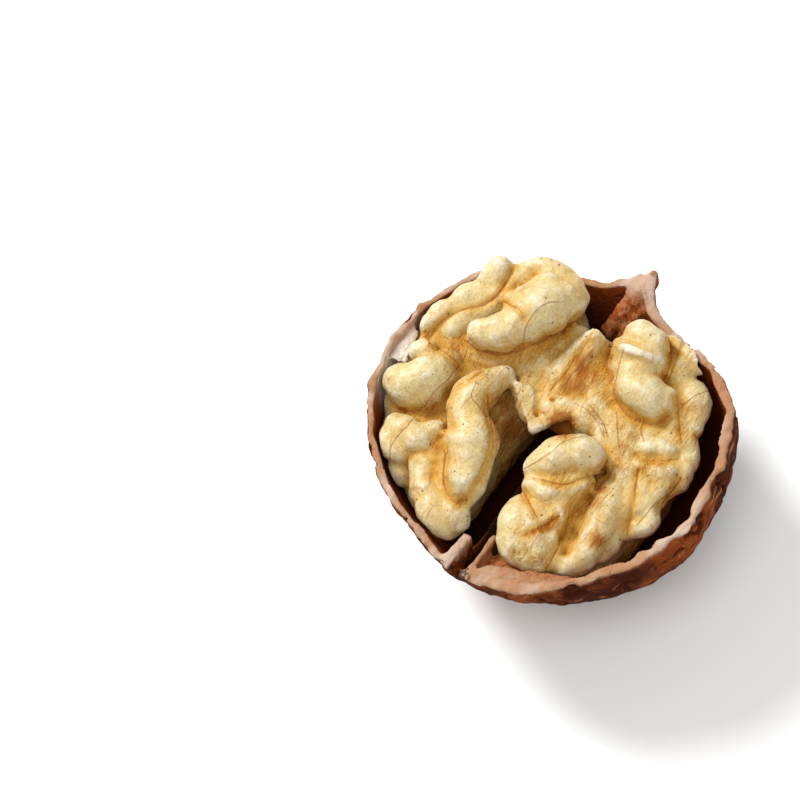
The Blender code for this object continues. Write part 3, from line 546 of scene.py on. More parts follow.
class Paint:
    """One material's node tree."""

    def __init__(self, name):
        self.material = bpy.data.materials.new(name)
        self.material.use_nodes = True
        self.tree = self.material.node_tree
        self.surface = self.tree.nodes["Principled BSDF"]

    def node(self, kind, settings=None, sockets=None, output=0):
        """Adds a node: its settings first, then its sockets' values or links."""
        made = self.tree.nodes.new("ShaderNode" + kind)
        for name, setting in (settings or {}).items():
            setattr(made, name, setting)
        for name, value in (sockets or {}).items():
            self.set(made.inputs[name], value)
        return Value(self, made.outputs[output])

    def set(self, socket, value):
        if isinstance(value, Value):
            self.tree.links.new(value.socket, socket)
        elif value is not None:
            socket.default_value = (*value, 1) if socket.type == "RGBA" else value

    def place(self, scale=(1, 1, 1), turn=(0, 0, 0)):
        """Object coordinates, stretched or turned."""
        spot = self.node("TexCoord", output="Object")
        return self.node("Mapping", sockets={"Vector": spot, "Scale": scale, "Rotation": turn})

    def attributes(self, *names):
        return [self.node("Attribute", {"attribute_name": name}, output="Fac") for name in names]

    def noise(self, spot, scale, detail=3, roughness=0.5, distortion=0):
        sockets = {
            "Vector": spot, "Scale": scale, "Detail": detail, "Roughness": roughness, "Distortion": distortion
        }
        return self.node("TexNoise", sockets=sockets, output="Fac")

    def cells(self, spot, scale, feature="F1", output="Distance"):
        return self.node("TexVoronoi", {"feature": feature}, {"Vector": spot, "Scale": scale}, output)

    def band(self, value, low, high):
        """0 below low and 1 above high, with a soft step between; low may be the larger."""
        sockets = {0: value, 1: low, 2: high, 3: 0.0, 4: 1.0}
        return self.node("MapRange", {"interpolation_type": "SMOOTHSTEP", "clamp": True}, sockets)

    def mix(self, factor, first, second):
        return self.node("Mix", {"data_type": "RGBA"}, {0: factor, 6: first, 7: second}, output=2)

    def lay(self, under, *coats):
        """Lays tints over a colour, each by a share where its mask lies between two values."""
        for mask, low, high, share, tint in coats:
            under = self.mix(self.band(mask, low, high) * share, under, tint)
        return under

    def bump(self, height, distance, strength):
        sockets = {"Height": height, "Distance": distance, "Strength": strength}
        return self.node("Bump", sockets=sockets, output="Normal")

    def finish(self, base, roughness, normal, coat=0.0, **constants):
        self.set(self.surface.inputs["Base Color"], base)
        self.set(self.surface.inputs["Roughness"], roughness)
        self.set(self.surface.inputs["Normal"], normal)
        self.set(self.surface.inputs["Coat Weight"], coat)
        for name, value in constants.items():
            self.surface.inputs[name.replace("_", " ")].default_value = value
        return self.material


# Shapes

def around(points, degrees, soften=CRISP):
    """The values of a table of angles at some angles, with its corners rounded off."""
    angles, values = np.array(points, float).T
    near = np.add.outer(np.asarray(degrees, float), soften * np.linspace(-1, 1, 9))
    return np.interp(near, angles, values, period=360).mean(axis=-1)


def wall_radius(degrees, depth):
    """The outer face's plain radius: the rim's own outline near the rim, a smoother one further down."""
    detail = np.exp(-(depth / OUTLINE_DEPTH) ** 2)
    return around(RIM_RADIUS, degrees) * detail + around(RIM_RADIUS, degrees, SOFTEST) * (1 - detail)


def bowl(directions):
    """Where the smooth outer face lies for directions on the lower half of a unit ball."""
    x, y, z = directions.T
    degrees = np.degrees(np.arctan2(y, x))
    level = np.sqrt(np.clip(1 - z ** 2, 0, 1))
    reach = wall_radius(degrees, -z) * level + around(CHEEK, degrees, SOFT) * np.sin(np.pi * -z)
    height = (RIM_HEIGHT + around(RIM_RISE, degrees)) * (1 + z) - FLAT_SPOT_SINK
    angle = np.radians(degrees)
    return np.stack([reach * np.cos(angle), reach * np.sin(angle), np.maximum(0, height)], axis=1)


def bowl_coordinates(points):
    """For points in millimetres: how far each is in from the outer face, and how far below the rim."""
    x, y, z = points.T
    degrees = np.degrees(np.arctan2(y, x))
    top = RIM_HEIGHT + around(RIM_RISE, degrees)
    depth = np.clip(1 - (z + FLAT_SPOT_SINK) / top, 0, 1)
    radius = wall_radius(degrees, depth)
    level = (np.hypot(x, y) - around(CHEEK, degrees, SOFT) * np.sin(np.pi * depth)) / radius
    inward = (1 - np.hypot(level, depth)) * radius
    return inward, top - FLAT_SPOT_SINK - z


def vectors(items, name):
    flat = np.empty(len(items) * 3, dtype=np.float32)
    items.foreach_get(name, flat)
    return flat.reshape(-1, 3).astype(float)


def points_of(mesh):
    return vectors(mesh.vertices, "co") / MM


def normals_of(mesh):
    return vectors(mesh.vertex_normals, "vector")


def edge_ends(mesh):
    """The first and the last vertex of every edge."""
    flat = np.empty(len(mesh.edges) * 2, dtype=np.int32)
    mesh.edges.foreach_get("vertices", flat)
    return flat.reshape(-1, 2).T


def move_points(mesh, points):
    mesh.vertices.foreach_set("co", (points * MM).astype(np.float32).ravel())
    mesh.update()


def store(mesh, **layers):
    """Keeps numbers on the vertices, for the materials."""
    for name, values in layers.items():
        layer = mesh.attributes.new(name, "FLOAT", "POINT")
        layer.data.foreach_set("value", np.asarray(values, dtype=np.float32))


def rough(points, name):
    """One kind of roughness at every point."""
    height, fineness, start = ROUGHNESS[name]
    start = Vector(start)
    return height * np.array([noise.noise(Vector(p) + start) for p in points * np.array(fineness)])


def smooth_step(values, low, high):
    t = np.clip((values - low) / (high - low), 0, 1)
    return t * t * (3 - 2 * t)


def spread(mesh, values, times):
    """Averages values over each vertex's neighbours, again and again."""
    a, b = edge_ends(mesh)
    count = np.bincount(a, minlength=len(values)) + np.bincount(b, minlength=len(values)) + 1
    values = values.reshape(len(values), -1)
    for _ in range(times):
        summed = values.copy()
        for total, source in zip(summed.T, values.T):
            total += np.bincount(a, source[b], len(source)) + np.bincount(b, source[a], len(source))
        values = summed / count[:, None]
    return values


def rounded_chain(points, share):
    """Balls along a smooth curve through a chain's points, share of a radius apart."""
    given = [Vector(p) for p in points]
    given = [given[0] * 2 - given[1]] + given + [given[-1] * 2 - given[-2]]
    balls = []
    for before, first, last, after in zip(given, given[1:], given[2:], given[3:]):
        steps = max(1, math.ceil((last.xyz - first.xyz).length / (share * min(first.w, last.w))))
        for step in range(steps + 1):
            t = step / steps
            rise = (last - before) * 0.5 * (t ** 3 - 2 * t ** 2 + t)
            fall = (after - first) * 0.5 * (t ** 3 - t ** 2)
            ball = first * (2 * t ** 3 - 3 * t ** 2 + 1) + last * (3 * t ** 2 - 2 * t ** 3) + rise + fall
            balls.append((ball.xyz, max(ball.w, LEAST_BALL)))
    return balls


def add_balls(whole, balls, unevenness=0.0):
    """Adds one chain's balls to a mesh that is being gathered, each with its own slight change of radius."""
    chain = bmesh.new()
    for centre, radius in balls:
        size = radius * (1 + unevenness * noise.noise(centre * UNEVENNESS_FINENESS))
        spot = Matrix.Translation(centre)
        bmesh.ops.create_icosphere(chain, subdivisions=BALL_SUBDIVISIONS, radius=size, matrix=spot)
    add_shape(whole, chain)


def add_shape(whole, shape):
    mesh = bpy.data.meshes.new("gathered")
    shape.to_mesh(mesh)
    shape.free()
    whole.from_mesh(mesh)
    bpy.data.meshes.remove(mesh)


def add_slat(whole, ends, width):
    """A thin upright slat, from its four corners: upper two, then lower two."""
    shape = bmesh.new()
    bmesh.ops.create_grid(shape, x_segments=1, y_segments=1, size=1)
    for vertex, end in zip(sorted(shape.verts, key=lambda v: (-v.co.y, v.co.x)), ends):
        vertex.co = end
    centre = sum((Vector(end) for end in ends), Vector()) / 4
    bmesh.ops.recalc_face_normals(shape, faces=shape.faces)
    bmesh.ops.solidify(shape, geom=shape.faces[:], thickness=width)
    bmesh.ops.recalc_face_normals(shape, faces=shape.faces)
    shift = centre - sum((vertex.co for vertex in shape.verts), Vector()) / len(shape.verts)
    bmesh.ops.translate(shape, vec=shift, verts=shape.verts)
    add_shape(whole, shape)


def add_object(name, shape):
    """Makes an object in metres from a bmesh in millimetres."""
    bmesh.ops.scale(shape, vec=(MM, MM, MM), verts=shape.verts)
    mesh = bpy.data.meshes.new(name)
    shape.to_mesh(mesh)
    shape.free()
    made = bpy.data.objects.new(name, mesh)
    bpy.context.scene.collection.objects.link(made)
    return made


def apply_modifiers(item):
    bpy.context.view_layer.update()
    graph = bpy.context.evaluated_depsgraph_get()
    finished = bpy.data.meshes.new_from_object(item.evaluated_get(graph))
    item.modifiers.clear()
    old = item.data
    item.data = finished
    bpy.data.meshes.remove(old)


def fuse(item, voxel, smoothing):
    """Joins overlapping shapes into one skin."""
    remesh = item.modifiers.new("skin", "REMESH")
    remesh.mode = "VOXEL"
    remesh.voxel_size = voxel
    remesh.use_smooth_shade = True
    smooth = item.modifiers.new("soften", "SMOOTH")
    smooth.factor = 0.5
    smooth.iterations = smoothing
    apply_modifiers(item)


def keep_largest(item):
    """Drops every loose piece but the one with the most vertices."""
    mesh = item.data
    a, b = edge_ends(mesh)
    label = np.arange(len(mesh.vertices))
    while True:
        low = np.minimum(label[a], label[b])
        lowered = label.copy()
        np.minimum.at(lowered, a, low)
        np.minimum.at(lowered, b, low)
        lowered = lowered[lowered]
        if (lowered == label).all():
            break
        label = lowered
    names, sizes = np.unique(label, return_counts=True)
    if len(names) == 1:
        return
    main = names[sizes.argmax()]
    shape = bmesh.new()
    shape.from_mesh(mesh)
    shape.verts.ensure_lookup_table()
    loose = [shape.verts[i] for i in np.flatnonzero(label != main)]
    bmesh.ops.delete(shape, geom=loose, context="VERTS")
    shape.to_mesh(mesh)
    shape.free()


def view_axes(elevation, azimuth, roll):
    """The directions towards a viewer, to the viewer's right and upwards for the viewer."""
    back = Vector((
        math.sin(azimuth) * math.cos(elevation), -math.cos(azimuth) * math.cos(elevation), math.sin(elevation)
    ))
    level = (-back).cross(Vector((0, 0, 1))).normalized()
    upright = level.cross(-back)
    right = math.cos(roll) * level - math.sin(roll) * upright
    return back, right, math.cos(roll) * upright + math.sin(roll) * level


def flattened(points):
    """Where points in millimetres fall on the plane of the marks, and the direction it faces."""
    back, right, up = (np.array(axis) for axis in view_axes(*READING))
    away = points - np.array(AIM) / MM
    distance = DISTANCE / MM
    nearer = distance / (distance - away @ back)
    return np.stack([away @ right * nearer, away @ up * nearer], axis=1), back


def rounded_line(points):
    """A line with its corners cut off twice."""
    line = np.array(points, float)
    for _ in range(2):
        early = line[:-1] * 0.75 + line[1:] * 0.25
        late = line[:-1] * 0.25 + line[1:] * 0.75
        line = np.concatenate([line[:1], np.stack([early, late], axis=1).reshape(-1, 2), line[-1:]])
    return line


def line_distance(places, lines):
    """The sideways and the plain distance from places on that plane to the nearest of some drawn lines."""
    best = np.full(len(places), 1e9)
    side = np.full(len(places), 1e9)
    for line in lines:
        bends = rounded_line(line)
        for first, last in zip(bends, bends[1:]):
            run = last - first
            size = np.hypot(*run)
            away = places - first
            share = np.clip(away @ run / size ** 2, 0, 1)
            gap = np.hypot(*(away - share[:, None] * run).T)
            across = (away[:, 1] * run[0] - away[:, 0] * run[1]) / size
            nearer = gap < best
            best[nearer] = gap[nearer]
            side[nearer] = across[nearer]
    return side, best


# Finishes

def shell_finish(settings):
    paint = Paint("walnut shell")
    dark, ruddy, ridge = settings.dark, settings.ruddy, settings.ridge
    spot = paint.place()
    split, inside, furrow, rib, depth, skin, char = paint.attributes(
        "split", "inside", "furrow", "rib", "depth", "skin", "char"
    )
    broad = paint.noise(spot, 130, 4, 0.6, 0.4)
    patches = paint.noise(paint.place((0.6, 1, 1.4)), 380, 6, 0.68, 0.8)
    fine = paint.noise(spot, 1800, 4, 0.6)
    grain = paint.noise(paint.place((0.3, 1.2, 1.2)), 1500, 3, 0.6)
    fibre = paint.noise(paint.place((1, 1, 0.25)), 1300, 3, 0.6)
    outer = paint.lay(
        ruddy,
        (broad, 0.38, 0.6, 1, dark),
        (patches, 0.5, 0.62, 0.9, dark),
        (patches, 0.46, 0.32, 0.75, ridge),
        # Darker in the furrows, partly painted shade
        (furrow, 0.15, 0.7, 0.8, dark),
        (fine, 0.6, 0.75, 0.3, ridge),
        (fine, 0.42, 0.3, 0.7, dark),
    )
    # Painted shade: the lining darkens the deeper it lies below the rim
    lining = paint.lay(settings.lining, (grain, 0.3, 0.7, 0.5, dark), (depth, 1.2, 8, 0.9, dark))
    cracks = paint.band(abs(patches - 0.5), 0.012, 0.003) * 0.6
    wood = paint.lay(
        settings.split,
        (grain, 0.35, 0.75, 0.3, ridge),
        (broad, 0.4, 0.65, 0.25, ridge),
        (fine, 0.62, 0.74, 0.35, ruddy),
        (broad, 0.45, 0.6, cracks, ruddy),
        (broad, 0.56, 0.36, 0.25, settings.film),
    )
    strands = paint.lay(
        ridge,
        (fibre, 0.36, 0.62, 1, ruddy),
        (fibre, 0.44, 0.36, 0.6, dark),
        (depth, 1.6, 0.4, 0.7, wood),
        # Painted shade: the ribs darken deeper below the rim
        (depth, 4, 10, 0.7, dark),
    )
    film = paint.lay(settings.film, (grain, 0.4, 0.7, 0.3, settings.split))
    base = outer
    for share, cover in ((inside, lining), (rib, strands), (skin, film), (split, wood)):
        base = paint.mix(share, base, cover)
    # Painted shade: near black in the stem's notch
    base = paint.lay(base, (char + (fine - 0.5) * 2, 0.45, 0.75, 0.85, (0.025, 0.014, 0.009)))
    roughness = 0.66 + paint.band(fine, 0.3, 0.7) * 0.2 - inside * 0.1
    relief = patches * (1 - inside) * (1 - split) * 0.8 + fine * 0.25 + grain * 0.2 + fibre * rib * 0.5
    normal = paint.bump(relief, 0.0007, 0.9)
    return paint.finish(base, roughness, normal, Specular_IOR_Level=0.03)


def kernel_finish(settings):
    paint = Paint("walnut kernel")
    ochre, brown, vein = settings.ochre, settings.brown, settings.vein
    spot = paint.place()
    crease, hollow, stain, wash = paint.attributes("crease", "hollow", "stain", "wash")
    broad = paint.noise(spot, 210, 3, 0.5, 0.3)
    mottle = paint.noise(spot, 900, 4, 0.6, 0.2)
    grain = paint.noise(spot, 3200, 3, 0.6)
    fibre = paint.noise(paint.place((0.5, 1.6, 1)), 1300, 4, 0.6, 1.2)
    uneven = (mottle - 0.5) * 0.5
    frayed = fibre - 0.5
    # Real stains together with painted shade
    stained_and_shaded = paint.band(stain + frayed * 0.8, 0.15, 0.75)
    skin = paint.lay(
        settings.cream,
        (broad, 0.4, 0.66, 0.45, ochre),
        # Painted highlight: pale on the ridges
        (crease, -0.03, -0.28, 0.9, settings.pale),
        # Painted shade over the skin's warmer tone: ochre in the hollows and creases
        (hollow + uneven, -0.2, 0.5, 0.95, ochre),
        (crease + uneven * 0.3, 0.04, 0.26, 0.85, ochre),
        # Painted shade: ochre along the drawn creases
        (wash + uneven, 0.2, 0.85, 0.8, ochre),
        # Painted shade: brown deep in the creases
        (crease + frayed * 0.2, 0.14, 0.42, 0.75, brown),
    )
    skin = paint.mix(stained_and_shaded * 0.55, skin, ochre)
    skin = paint.lay(
        skin,
        # Brown over the stains and the painted shade
        (stain + frayed * 1.2, 0.45, 1.05, 0.9, brown),
        (mottle, 0.6, 0.74, 0.35, brown),
    )
    wander = (mottle - 0.5) * 0.3
    crease_side, crease_near, vein_side, vein_near = paint.attributes(
        "crease_side", "crease_near", "vein_side", "vein_near"
    )
    # Painted shade: brown along the drawn creases
    groove = paint.band(abs(crease_side + wander), 0.16, 0.02) * crease_near
    skin = paint.mix(groove * (0.25 + paint.band(broad, 0.35, 0.6) * 0.6), skin, brown)
    drawn = paint.band(abs(vein_side + wander), 0.1, 0.02) * vein_near * paint.band(mottle, 0.25, 0.5)
    net = paint.cells(spot, 230, "DISTANCE_TO_EDGE")
    bent = paint.noise(spot, 600, 3, 0.5)
    natural = paint.band(net + (bent - 0.5) * 0.12, 0.02, 0.006) * paint.band(broad, 0.5, 0.62) * 0.3
    skin = paint.mix(drawn * 0.5, skin, brown)
    skin = paint.mix(natural, skin, vein)
    specks = 0
    for scale, least in ((800, 0.55), (1500, 0.62), (2600, 0.6)):
        dots = paint.cells(spot, scale)
        pick = paint.node("SeparateColor", sockets={0: paint.cells(spot, scale, output="Color")})
        specks = specks + paint.band(dots, 0.13, 0.06) * paint.band(pick, least, least + 0.05)
    skin = paint.mix(specks * 0.8, skin, vein)
    hairs = paint.noise(paint.place((0.4, 1.5, 1), (0, 0, 0.6)), 1900, 3, 0.6, 2.2)
    shaggy = paint.band(hollow + stained_and_shaded * 0.5 + uneven, 0.1, 0.6)
    skin = paint.lay(
        skin,
        (grain, 0.4, 0.68, 0.28, brown),
        (abs(hairs - 0.5), 0.045, 0.008, shaggy * 0.7, brown),
    )
    roughness = 0.36 + paint.band(mottle, 0.3, 0.7) * 0.16 + paint.band(crease, 0, 0.4) * 0.15 + stained_and_shaded * 0.15
    relief = mottle * 0.5 + fibre * (0.25 + stained_and_shaded * 0.6) + grain * 0.12 - drawn * 0.25 - specks * 0.2
    normal = paint.bump(relief, 0.00035, 0.9)
    shine = (1 - stained_and_shaded) * (1 - shaggy * 0.7) * 0.35
    return paint.finish(skin, roughness, normal, coat=shine, Specular_IOR_Level=0.1, Coat_Roughness=0.35)


def partition_finish(settings):
    paint = Paint("walnut partition")
    grain = paint.noise(paint.place((0.3, 1, 1)), 900, 4, 0.6, 0.5)
    fine = paint.noise(paint.place(), 2600, 3, 0.6)
    base = paint.lay(
        settings.bark, (grain, 0.3, 0.7, 1, linear(120, 72, 40)), (fine, 0.55, 0.7, 0.5, linear(36, 18, 9))
    )
    return paint.finish(base, 0.5 + fine * 0.25, paint.bump(grain * 0.6 + fine * 0.4, 0.0002, 0.8))


def floor_finish():
    paint = Paint("pale floor")
    tone = paint.noise(paint.place(), 30, 2, 0.5)
    base = paint.mix(tone * 0.04, (0.9, 0.9, 0.9), (0.84, 0.84, 0.84))
    return paint.finish(base, 0.6, paint.bump(tone, 0.00001, 0.1))


# Pieces

class WALNUT_OT_shell(bpy.types.Operator):
    """Builds the half shell, with its furrows outside, its beak's ribs and the channel at the stem."""

    bl_idname = "walnut.shell"
    bl_label = "Shell"

    def execute(self, context):
        settings = context.scene.walnut.shell
        shape = bmesh.new()
        bmesh.ops.create_uvsphere(shape, u_segments=BOWL_GRID[0], v_segments=BOWL_GRID[1], radius=1)
        whole = shape.verts[:] + shape.edges[:] + shape.faces[:]
        bmesh.ops.bisect_plane(
            shape, geom=whole, plane_co=(0, 0, 0), plane_no=(0, 0, 1), dist=1e-5, clear_outer=True
        )
        placed = bowl(np.array([v.co[:] for v in shape.verts]))
        for vertex, point in zip(shape.verts, placed):
            vertex.co = point
        layer = shape.verts.layers.deform.verify()
        for vertex in shape.verts:
            angle = math.degrees(math.atan2(vertex.co.y, vertex.co.x))
            vertex[layer][0] = float(around(WALL_SHARE, angle, SOFT))
        shell = add_object("half_shell", shape)
        shell.vertex_groups.new(name="thickness")
        wall = shell.modifiers.new("wall", "SOLIDIFY")
        wall.thickness = settings.wall
        wall.offset = -1
        wall.use_even_offset = True
        wall.vertex_group = "thickness"
        cutter = bmesh.new()
        add_slat(cutter, *NOTCH)
        cutter = add_object("notch", cutter)
        notch = shell.modifiers.new("notch", "BOOLEAN")
        notch.operation = "DIFFERENCE"
        notch.object = cutter
        apply_modifiers(shell)
        bpy.data.objects.remove(cutter)
        shape = bmesh.new()
        shape.from_mesh(shell.data)
        bmesh.ops.scale(shape, vec=(1 / MM, 1 / MM, 1 / MM), verts=shape.verts)
        for slat in SLATS.values():
            add_slat(shape, *slat)
        for points in BEAK.values():
            add_balls(shape, rounded_chain(points, FOLD_STEP))
        bpy.data.objects.remove(shell)
        shell = add_object("half_shell", shape)
        fuse(shell, settings.voxel, SHELL_SMOOTHING)
        keep_largest(shell)
        carve_shell(shell.data, settings)
        shell.data.materials.clear()
        shell.data.materials.append(shell_finish(settings))
        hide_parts("shell")
        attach(shell, "root")
        return {"FINISHED"}


def carve_shell(mesh, settings):
    """Furrows the outer face, roughens the lining and chips the split face, and stores where each lies."""
    points = points_of(mesh)
    normals = normals_of(mesh)
    x, y, z = points.T
    angle = np.degrees(np.arctan2(y, x))
    inward, below = bowl_coordinates(points)
    wall = settings.wall / MM * around(WALL_SHARE, angle, SOFT)
    outside = smooth_step(inward, 0.6, 0.2)
    rim = smooth_step(below, 0.9, 0.45) * smooth_step(normals[:, 2], 0.3, 0.55)
    inside = smooth_step(inward / wall, 0.6, 0.85) * (1 - rim)
    rib = smooth_step(inward - wall, 0.25, 0.6)
    winding = np.abs(rough(points, "furrow course")) + np.abs(rough(points, "furrow branches"))
    furrow = np.exp(-(winding / FURROW_WIDTH) ** 2)
    flat = smooth_step(np.hypot(x, y), 3.2, 5)
    bark = rough(points, "lumps") - settings.furrow / MM * furrow + rough(points, "pits")
    lining = rough(points, "lining") * inside
    strands = rough(points, "strands") * rib * (1 - rim)
    chips = (rough(points, "chips") + rough(points, "fine chips")) * rim
    moved = points + normals * (bark * outside * flat + lining + strands + chips)[:, None]
    within = smooth_step(inward / wall, 0.3, 0.7)
    wavy = 0.22 + 0.2 * smooth_step(np.abs(angle + 85), 75, 55)
    wave = (rough(points, "outer wave") * (1 - within) + rough(points, "inner wave") * within) * wavy
    wave *= smooth_step(below, 3, 0.5) * (1 - rib)
    moved[:, :2] += points[:, :2] / np.hypot(x, y)[:, None] * wave[:, None]
    moved[:, 2] = np.maximum(moved[:, 2], 0)
    move_points(mesh, moved)
    film = np.exp(-((angle - FILM[0]) / FILM[1]) ** 4) * smooth_step(below, 7, 5)
    film += np.exp(-((angle - FILM_SPECK[0]) / FILM_SPECK[1]) ** 2) * smooth_step(below, 2.2, 1.2)
    # Painted shade in the stem's notch
    char = np.exp(-(((points - np.array(NOTCH_SHADE_SPOT)) / NOTCH_SHADE_SIZE) ** 2).sum(axis=1))
    store(
        mesh, split=rim, inside=inside, furrow=furrow * outside, rib=rib, depth=below, char=char,
        skin=np.clip(film, 0, 1) * inside,
    )


class WALNUT_OT_kernel(bpy.types.Operator):
    """Builds the folded kernel: two lobes, the bridge between them and every ridge on them."""

    bl_idname = "walnut.kernel"
    bl_label = "Kernel"

    def execute(self, context):
        settings = context.scene.walnut.kernel
        shape = bmesh.new()
        for points in LOBES.values():
            add_balls(shape, rounded_chain(points, LOBE_STEP))
        for points in FOLDS.values():
            add_balls(shape, rounded_chain(points, FOLD_STEP), FOLD_UNEVENNESS)
        for slat in PLATES.values():
            add_slat(shape, *slat)
        kernel = add_object("folded_kernel", shape)
        fuse(kernel, settings.voxel, KERNEL_SMOOTHING)
        keep_largest(kernel)
        fold_kernel(kernel.data, settings)
        kernel.data.materials.clear()
        kernel.data.materials.append(kernel_finish(settings))
        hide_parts("kernel")
        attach(kernel, "root")
        return {"FINISHED"}


def fold_kernel(mesh, settings):
    """Swells the skin, keeps it inside the shell, and stores its creases, its stains and painted shade, and
    its veins.
    """
    points = points_of(mesh)
    normals = normals_of(mesh)
    places, facing = marked(points, normals)
    _, gap = line_distance(places, CREASES)
    swell = rough(points, "swellings") + rough(points, "small swellings") + rough(points, "wrinkles")
    swell = swell - (0.22 * np.exp(-(gap / 0.28) ** 2) + 0.14 * np.exp(-(gap / 0.9) ** 2)) * facing
    points = points + normals * swell[:, None]
    inward, below = bowl_coordinates(points)
    angle = np.degrees(np.arctan2(points[:, 1], points[:, 0]))
    least = context_wall() * around(WALL_SHARE, angle, SOFT) + settings.clearance / MM
    short = np.clip(least - inward, 0, 3) * smooth_step(below, -0.5, -0.1)
    away = points - np.array((0, 0, RIM_HEIGHT))
    points = points - away / np.linalg.norm(away, axis=1)[:, None] * short[:, None]
    move_points(mesh, points)
    normals = normals_of(mesh)
    soft = spread(mesh, points, CREASE_SPREAD)
    softer = spread(mesh, soft, HOLLOW_SPREAD)
    places, facing = marked(points, normals)
    # Real stains and painted shade, from the table
    stain = np.zeros(len(points))
    for across, up, radius, strength in STAINS_AND_SHADE:
        away = np.hypot(places[:, 0] - across, places[:, 1] - up) / radius
        stain = np.maximum(stain, strength * np.exp(-away ** 2 * 0.9))
    # Painted shade: the skin darkens towards the bottom, deep in the shell
    stain = np.maximum(stain, 0.8 * smooth_step(points[:, 2], 14.5, 9.5))
    crease = ((soft - points) * normals).sum(axis=1)
    hollow = ((softer - points) * normals).sum(axis=1)
    store(mesh, crease=crease, hollow=hollow, stain=stain)
    side, gap = line_distance(places, CREASES)
    # Painted shade along the drawn creases is stored first
    store(mesh, wash=np.exp(-gap / 0.9) * facing, crease_side=edged(side), crease_near=close(gap) * facing)
    side, gap = line_distance(places, VEINS)
    store(mesh, vein_side=edged(side), vein_near=close(gap) * facing)


def marked(points, normals):
    """Where points fall on the plane of the marks, and how well they face it."""
    places, back = flattened(points)
    return places, smooth_step(normals @ back, 0.05, 0.35) * smooth_step(points[:, 2], 8, 11)


def edged(side):
    """A sideways distance from a line, kept within the reach of its mark."""
    return np.clip(side, -MARK_REACH, MARK_REACH)


def close(gap):
    """1 on a line and 0 beyond the reach of its mark."""
    return smooth_step(gap, *MARK_FADE)


def context_wall():
    return bpy.context.scene.walnut.shell.wall / MM


class WALNUT_OT_partition(bpy.types.Operator):
    """Builds the thin dry partition that stands between the kernel's lobes."""

    bl_idname = "walnut.partition"
    bl_label = "Partition"

    def execute(self, context):
        settings = context.scene.walnut.partition
        low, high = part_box("partition")
        shape = bmesh.new()
        bmesh.ops.create_grid(shape, x_segments=PARTITION_GRID[0], y_segments=PARTITION_GRID[1], size=1)
        line_x, line_y = np.array(PARTITION_LINE).T
        top_x, top_z = np.array(PARTITION_TOP).T
        share_x, share_z, _ = ((np.array([v.co[:] for v in shape.verts]) + 1) / 2).T
        x = low[0] / MM + (high[0] - low[0]) / MM * share_x
        spots = np.stack([x, 0 * x, 0 * x], axis=1)
        top = np.interp(x, top_x, top_z) + rough(spots, "torn edge") + rough(spots, "small tears")
        floors = {place: self.floor_under(place) for place in set(x)}
        floor = np.array([floors[place] for place in x])
        spots[:, 2] = floor + (np.maximum(top, floor + PARTITION_LEAST) - floor) * share_z
        bow = rough(spots, "bow") + rough(spots, "small bow")
        spots[:, 1] = np.interp(x, line_x, line_y) + bow * share_z
        for vertex, spot in zip(shape.verts, spots):
            vertex.co = spot
        bmesh.ops.solidify(shape, geom=shape.faces[:], thickness=settings.thickness / MM)
        bmesh.ops.recalc_face_normals(shape, faces=shape.faces)
        plate = add_object("dry_partition", shape)
        plate.data.shade_smooth()
        plate.data.materials.append(partition_finish(settings))
        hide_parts("partition")
        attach(plate, "root")
        return {"FINISHED"}

    def floor_under(self, x):
        """The height just above the shell's lining under one place of the partition's line."""
        heights = np.linspace(*LINING_HEIGHTS)
        column = np.stack([0 * heights + x, 0 * heights, heights], axis=1)
        inward, _ = bowl_coordinates(column)
        clear = heights[inward > context_wall() + PARTITION_CLEARANCE]
        return clear[0] if len(clear) else LINING_TOP


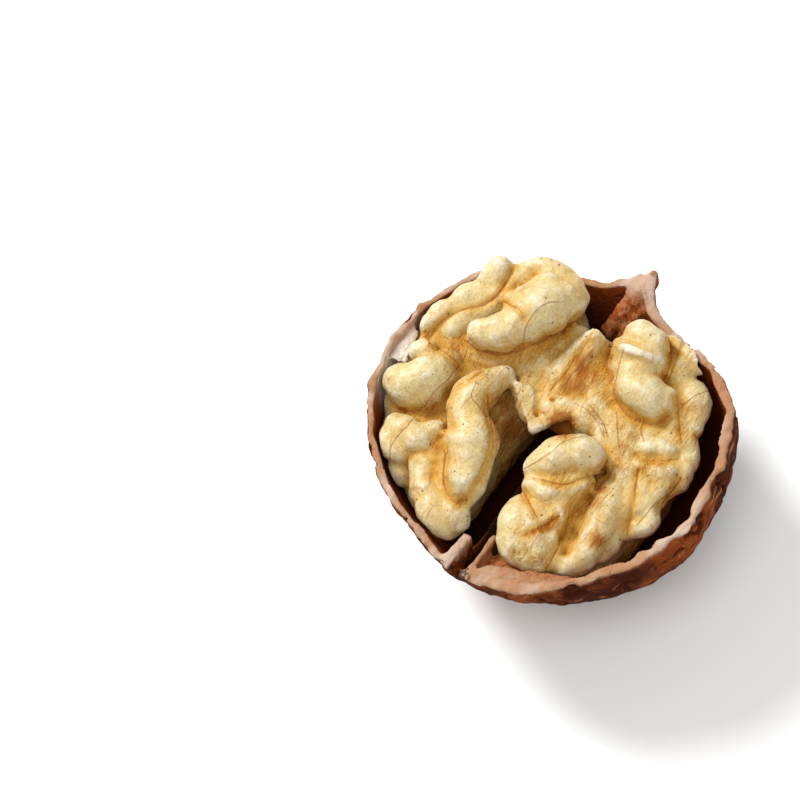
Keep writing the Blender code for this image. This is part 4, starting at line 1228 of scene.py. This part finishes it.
class WALNUT_OT_stage(bpy.types.Operator):
    """Sets the pale floor, the soft light and the camera."""

    bl_idname = "walnut.stage"
    bl_label = "Stage"

    def execute(self, context):
        settings = context.scene.walnut.stage
        shape = bmesh.new()
        bmesh.ops.create_grid(shape, x_segments=2, y_segments=2, size=settings.floor / MM / 2)
        floor = add_object("pale_floor", shape)
        floor.data.materials.append(floor_finish())
        for name, light in LIGHTS.items():
            self.light(name, *light)
        world = bpy.data.worlds.new("soft room")
        world.use_nodes = True
        background = world.node_tree.nodes["Background"]
        background.inputs["Color"].default_value = (1, 1, 1, 1)
        background.inputs["Strength"].default_value = ROOM_LIGHT
        context.scene.world = world
        context.scene.view_settings.view_transform = "Standard"
        self.camera(context, settings)
        return {"FINISHED"}

    def light(self, name, spot, size, power, tint):
        data = bpy.data.lights.new(name, "AREA")
        data.shape = "DISK"
        data.size = size
        data.energy = power
        data.color = tint
        lamp = bpy.data.objects.new(name, data)
        lamp.location = spot
        lamp.rotation_mode = "QUATERNION"
        lamp.rotation_quaternion = (AIM - Vector(spot)).to_track_quat("-Z", "Y")
        bpy.context.scene.collection.objects.link(lamp)

    def camera(self, context, settings):
        """Stands the camera off along its direction, then turns it so that the aim shows at its pixel."""
        data = bpy.data.cameras.new("camera")
        data.lens = settings.lens
        data.sensor_width = SENSOR
        data.clip_start = 0.01
        focal = settings.lens / data.sensor_width * PICTURE
        back, right, up = view_axes(settings.elevation, settings.azimuth, settings.roll)
        across = (AIM_PIXEL[0] - PICTURE / 2) / focal
        down = (AIM_PIXEL[1] - PICTURE / 2) / focal
        forward = (-back - across * right + down * up).normalized()
        right = (right - right.dot(forward) * forward).normalized()
        up = right.cross(forward)
        turn = Matrix((right, up, -forward)).transposed().to_4x4()
        camera = bpy.data.objects.new("camera", data)
        camera.matrix_world = Matrix.Translation(AIM + back * focal * METRES_PER_PIXEL) @ turn
        context.scene.collection.objects.link(camera)
        context.scene.camera = camera


class WALNUT_PT_panel(bpy.types.Panel):
    """Lists the walnut's pieces, with the sizes and colours of each."""

    bl_label = "Opened walnut"
    bl_idname = "WALNUT_PT_panel"
    bl_space_type = "VIEW_3D"
    bl_region_type = "UI"
    bl_category = "Walnut"

    def draw(self, context):
        for name in PIECES:
            box = self.layout.box()
            box.operator("walnut." + name)
            group = getattr(context.scene.walnut, name)
            for key in group.bl_rna.properties.keys():
                if key not in ("rna_type", "name"):
                    box.prop(group, key)


PIECES = ("shell", "kernel", "partition", "stage")
CLASSES = (
    WalnutShellSettings, WalnutKernelSettings, WalnutPartitionSettings, WalnutStageSettings, WalnutSettings,
    WALNUT_OT_shell, WALNUT_OT_kernel, WALNUT_OT_partition, WALNUT_OT_stage, WALNUT_PT_panel,
)


def register():
    for item in CLASSES:
        bpy.utils.register_class(item)
    bpy.types.Scene.walnut = PointerProperty(type=WalnutSettings)


def unregister():
    del bpy.types.Scene.walnut
    for item in reversed(CLASSES):
        bpy.utils.unregister_class(item)


def main():
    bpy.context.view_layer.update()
    register()
    for name in PIECES:
        getattr(bpy.ops.walnut, name)()
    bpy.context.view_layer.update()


if __name__ == "__main__":
    main()
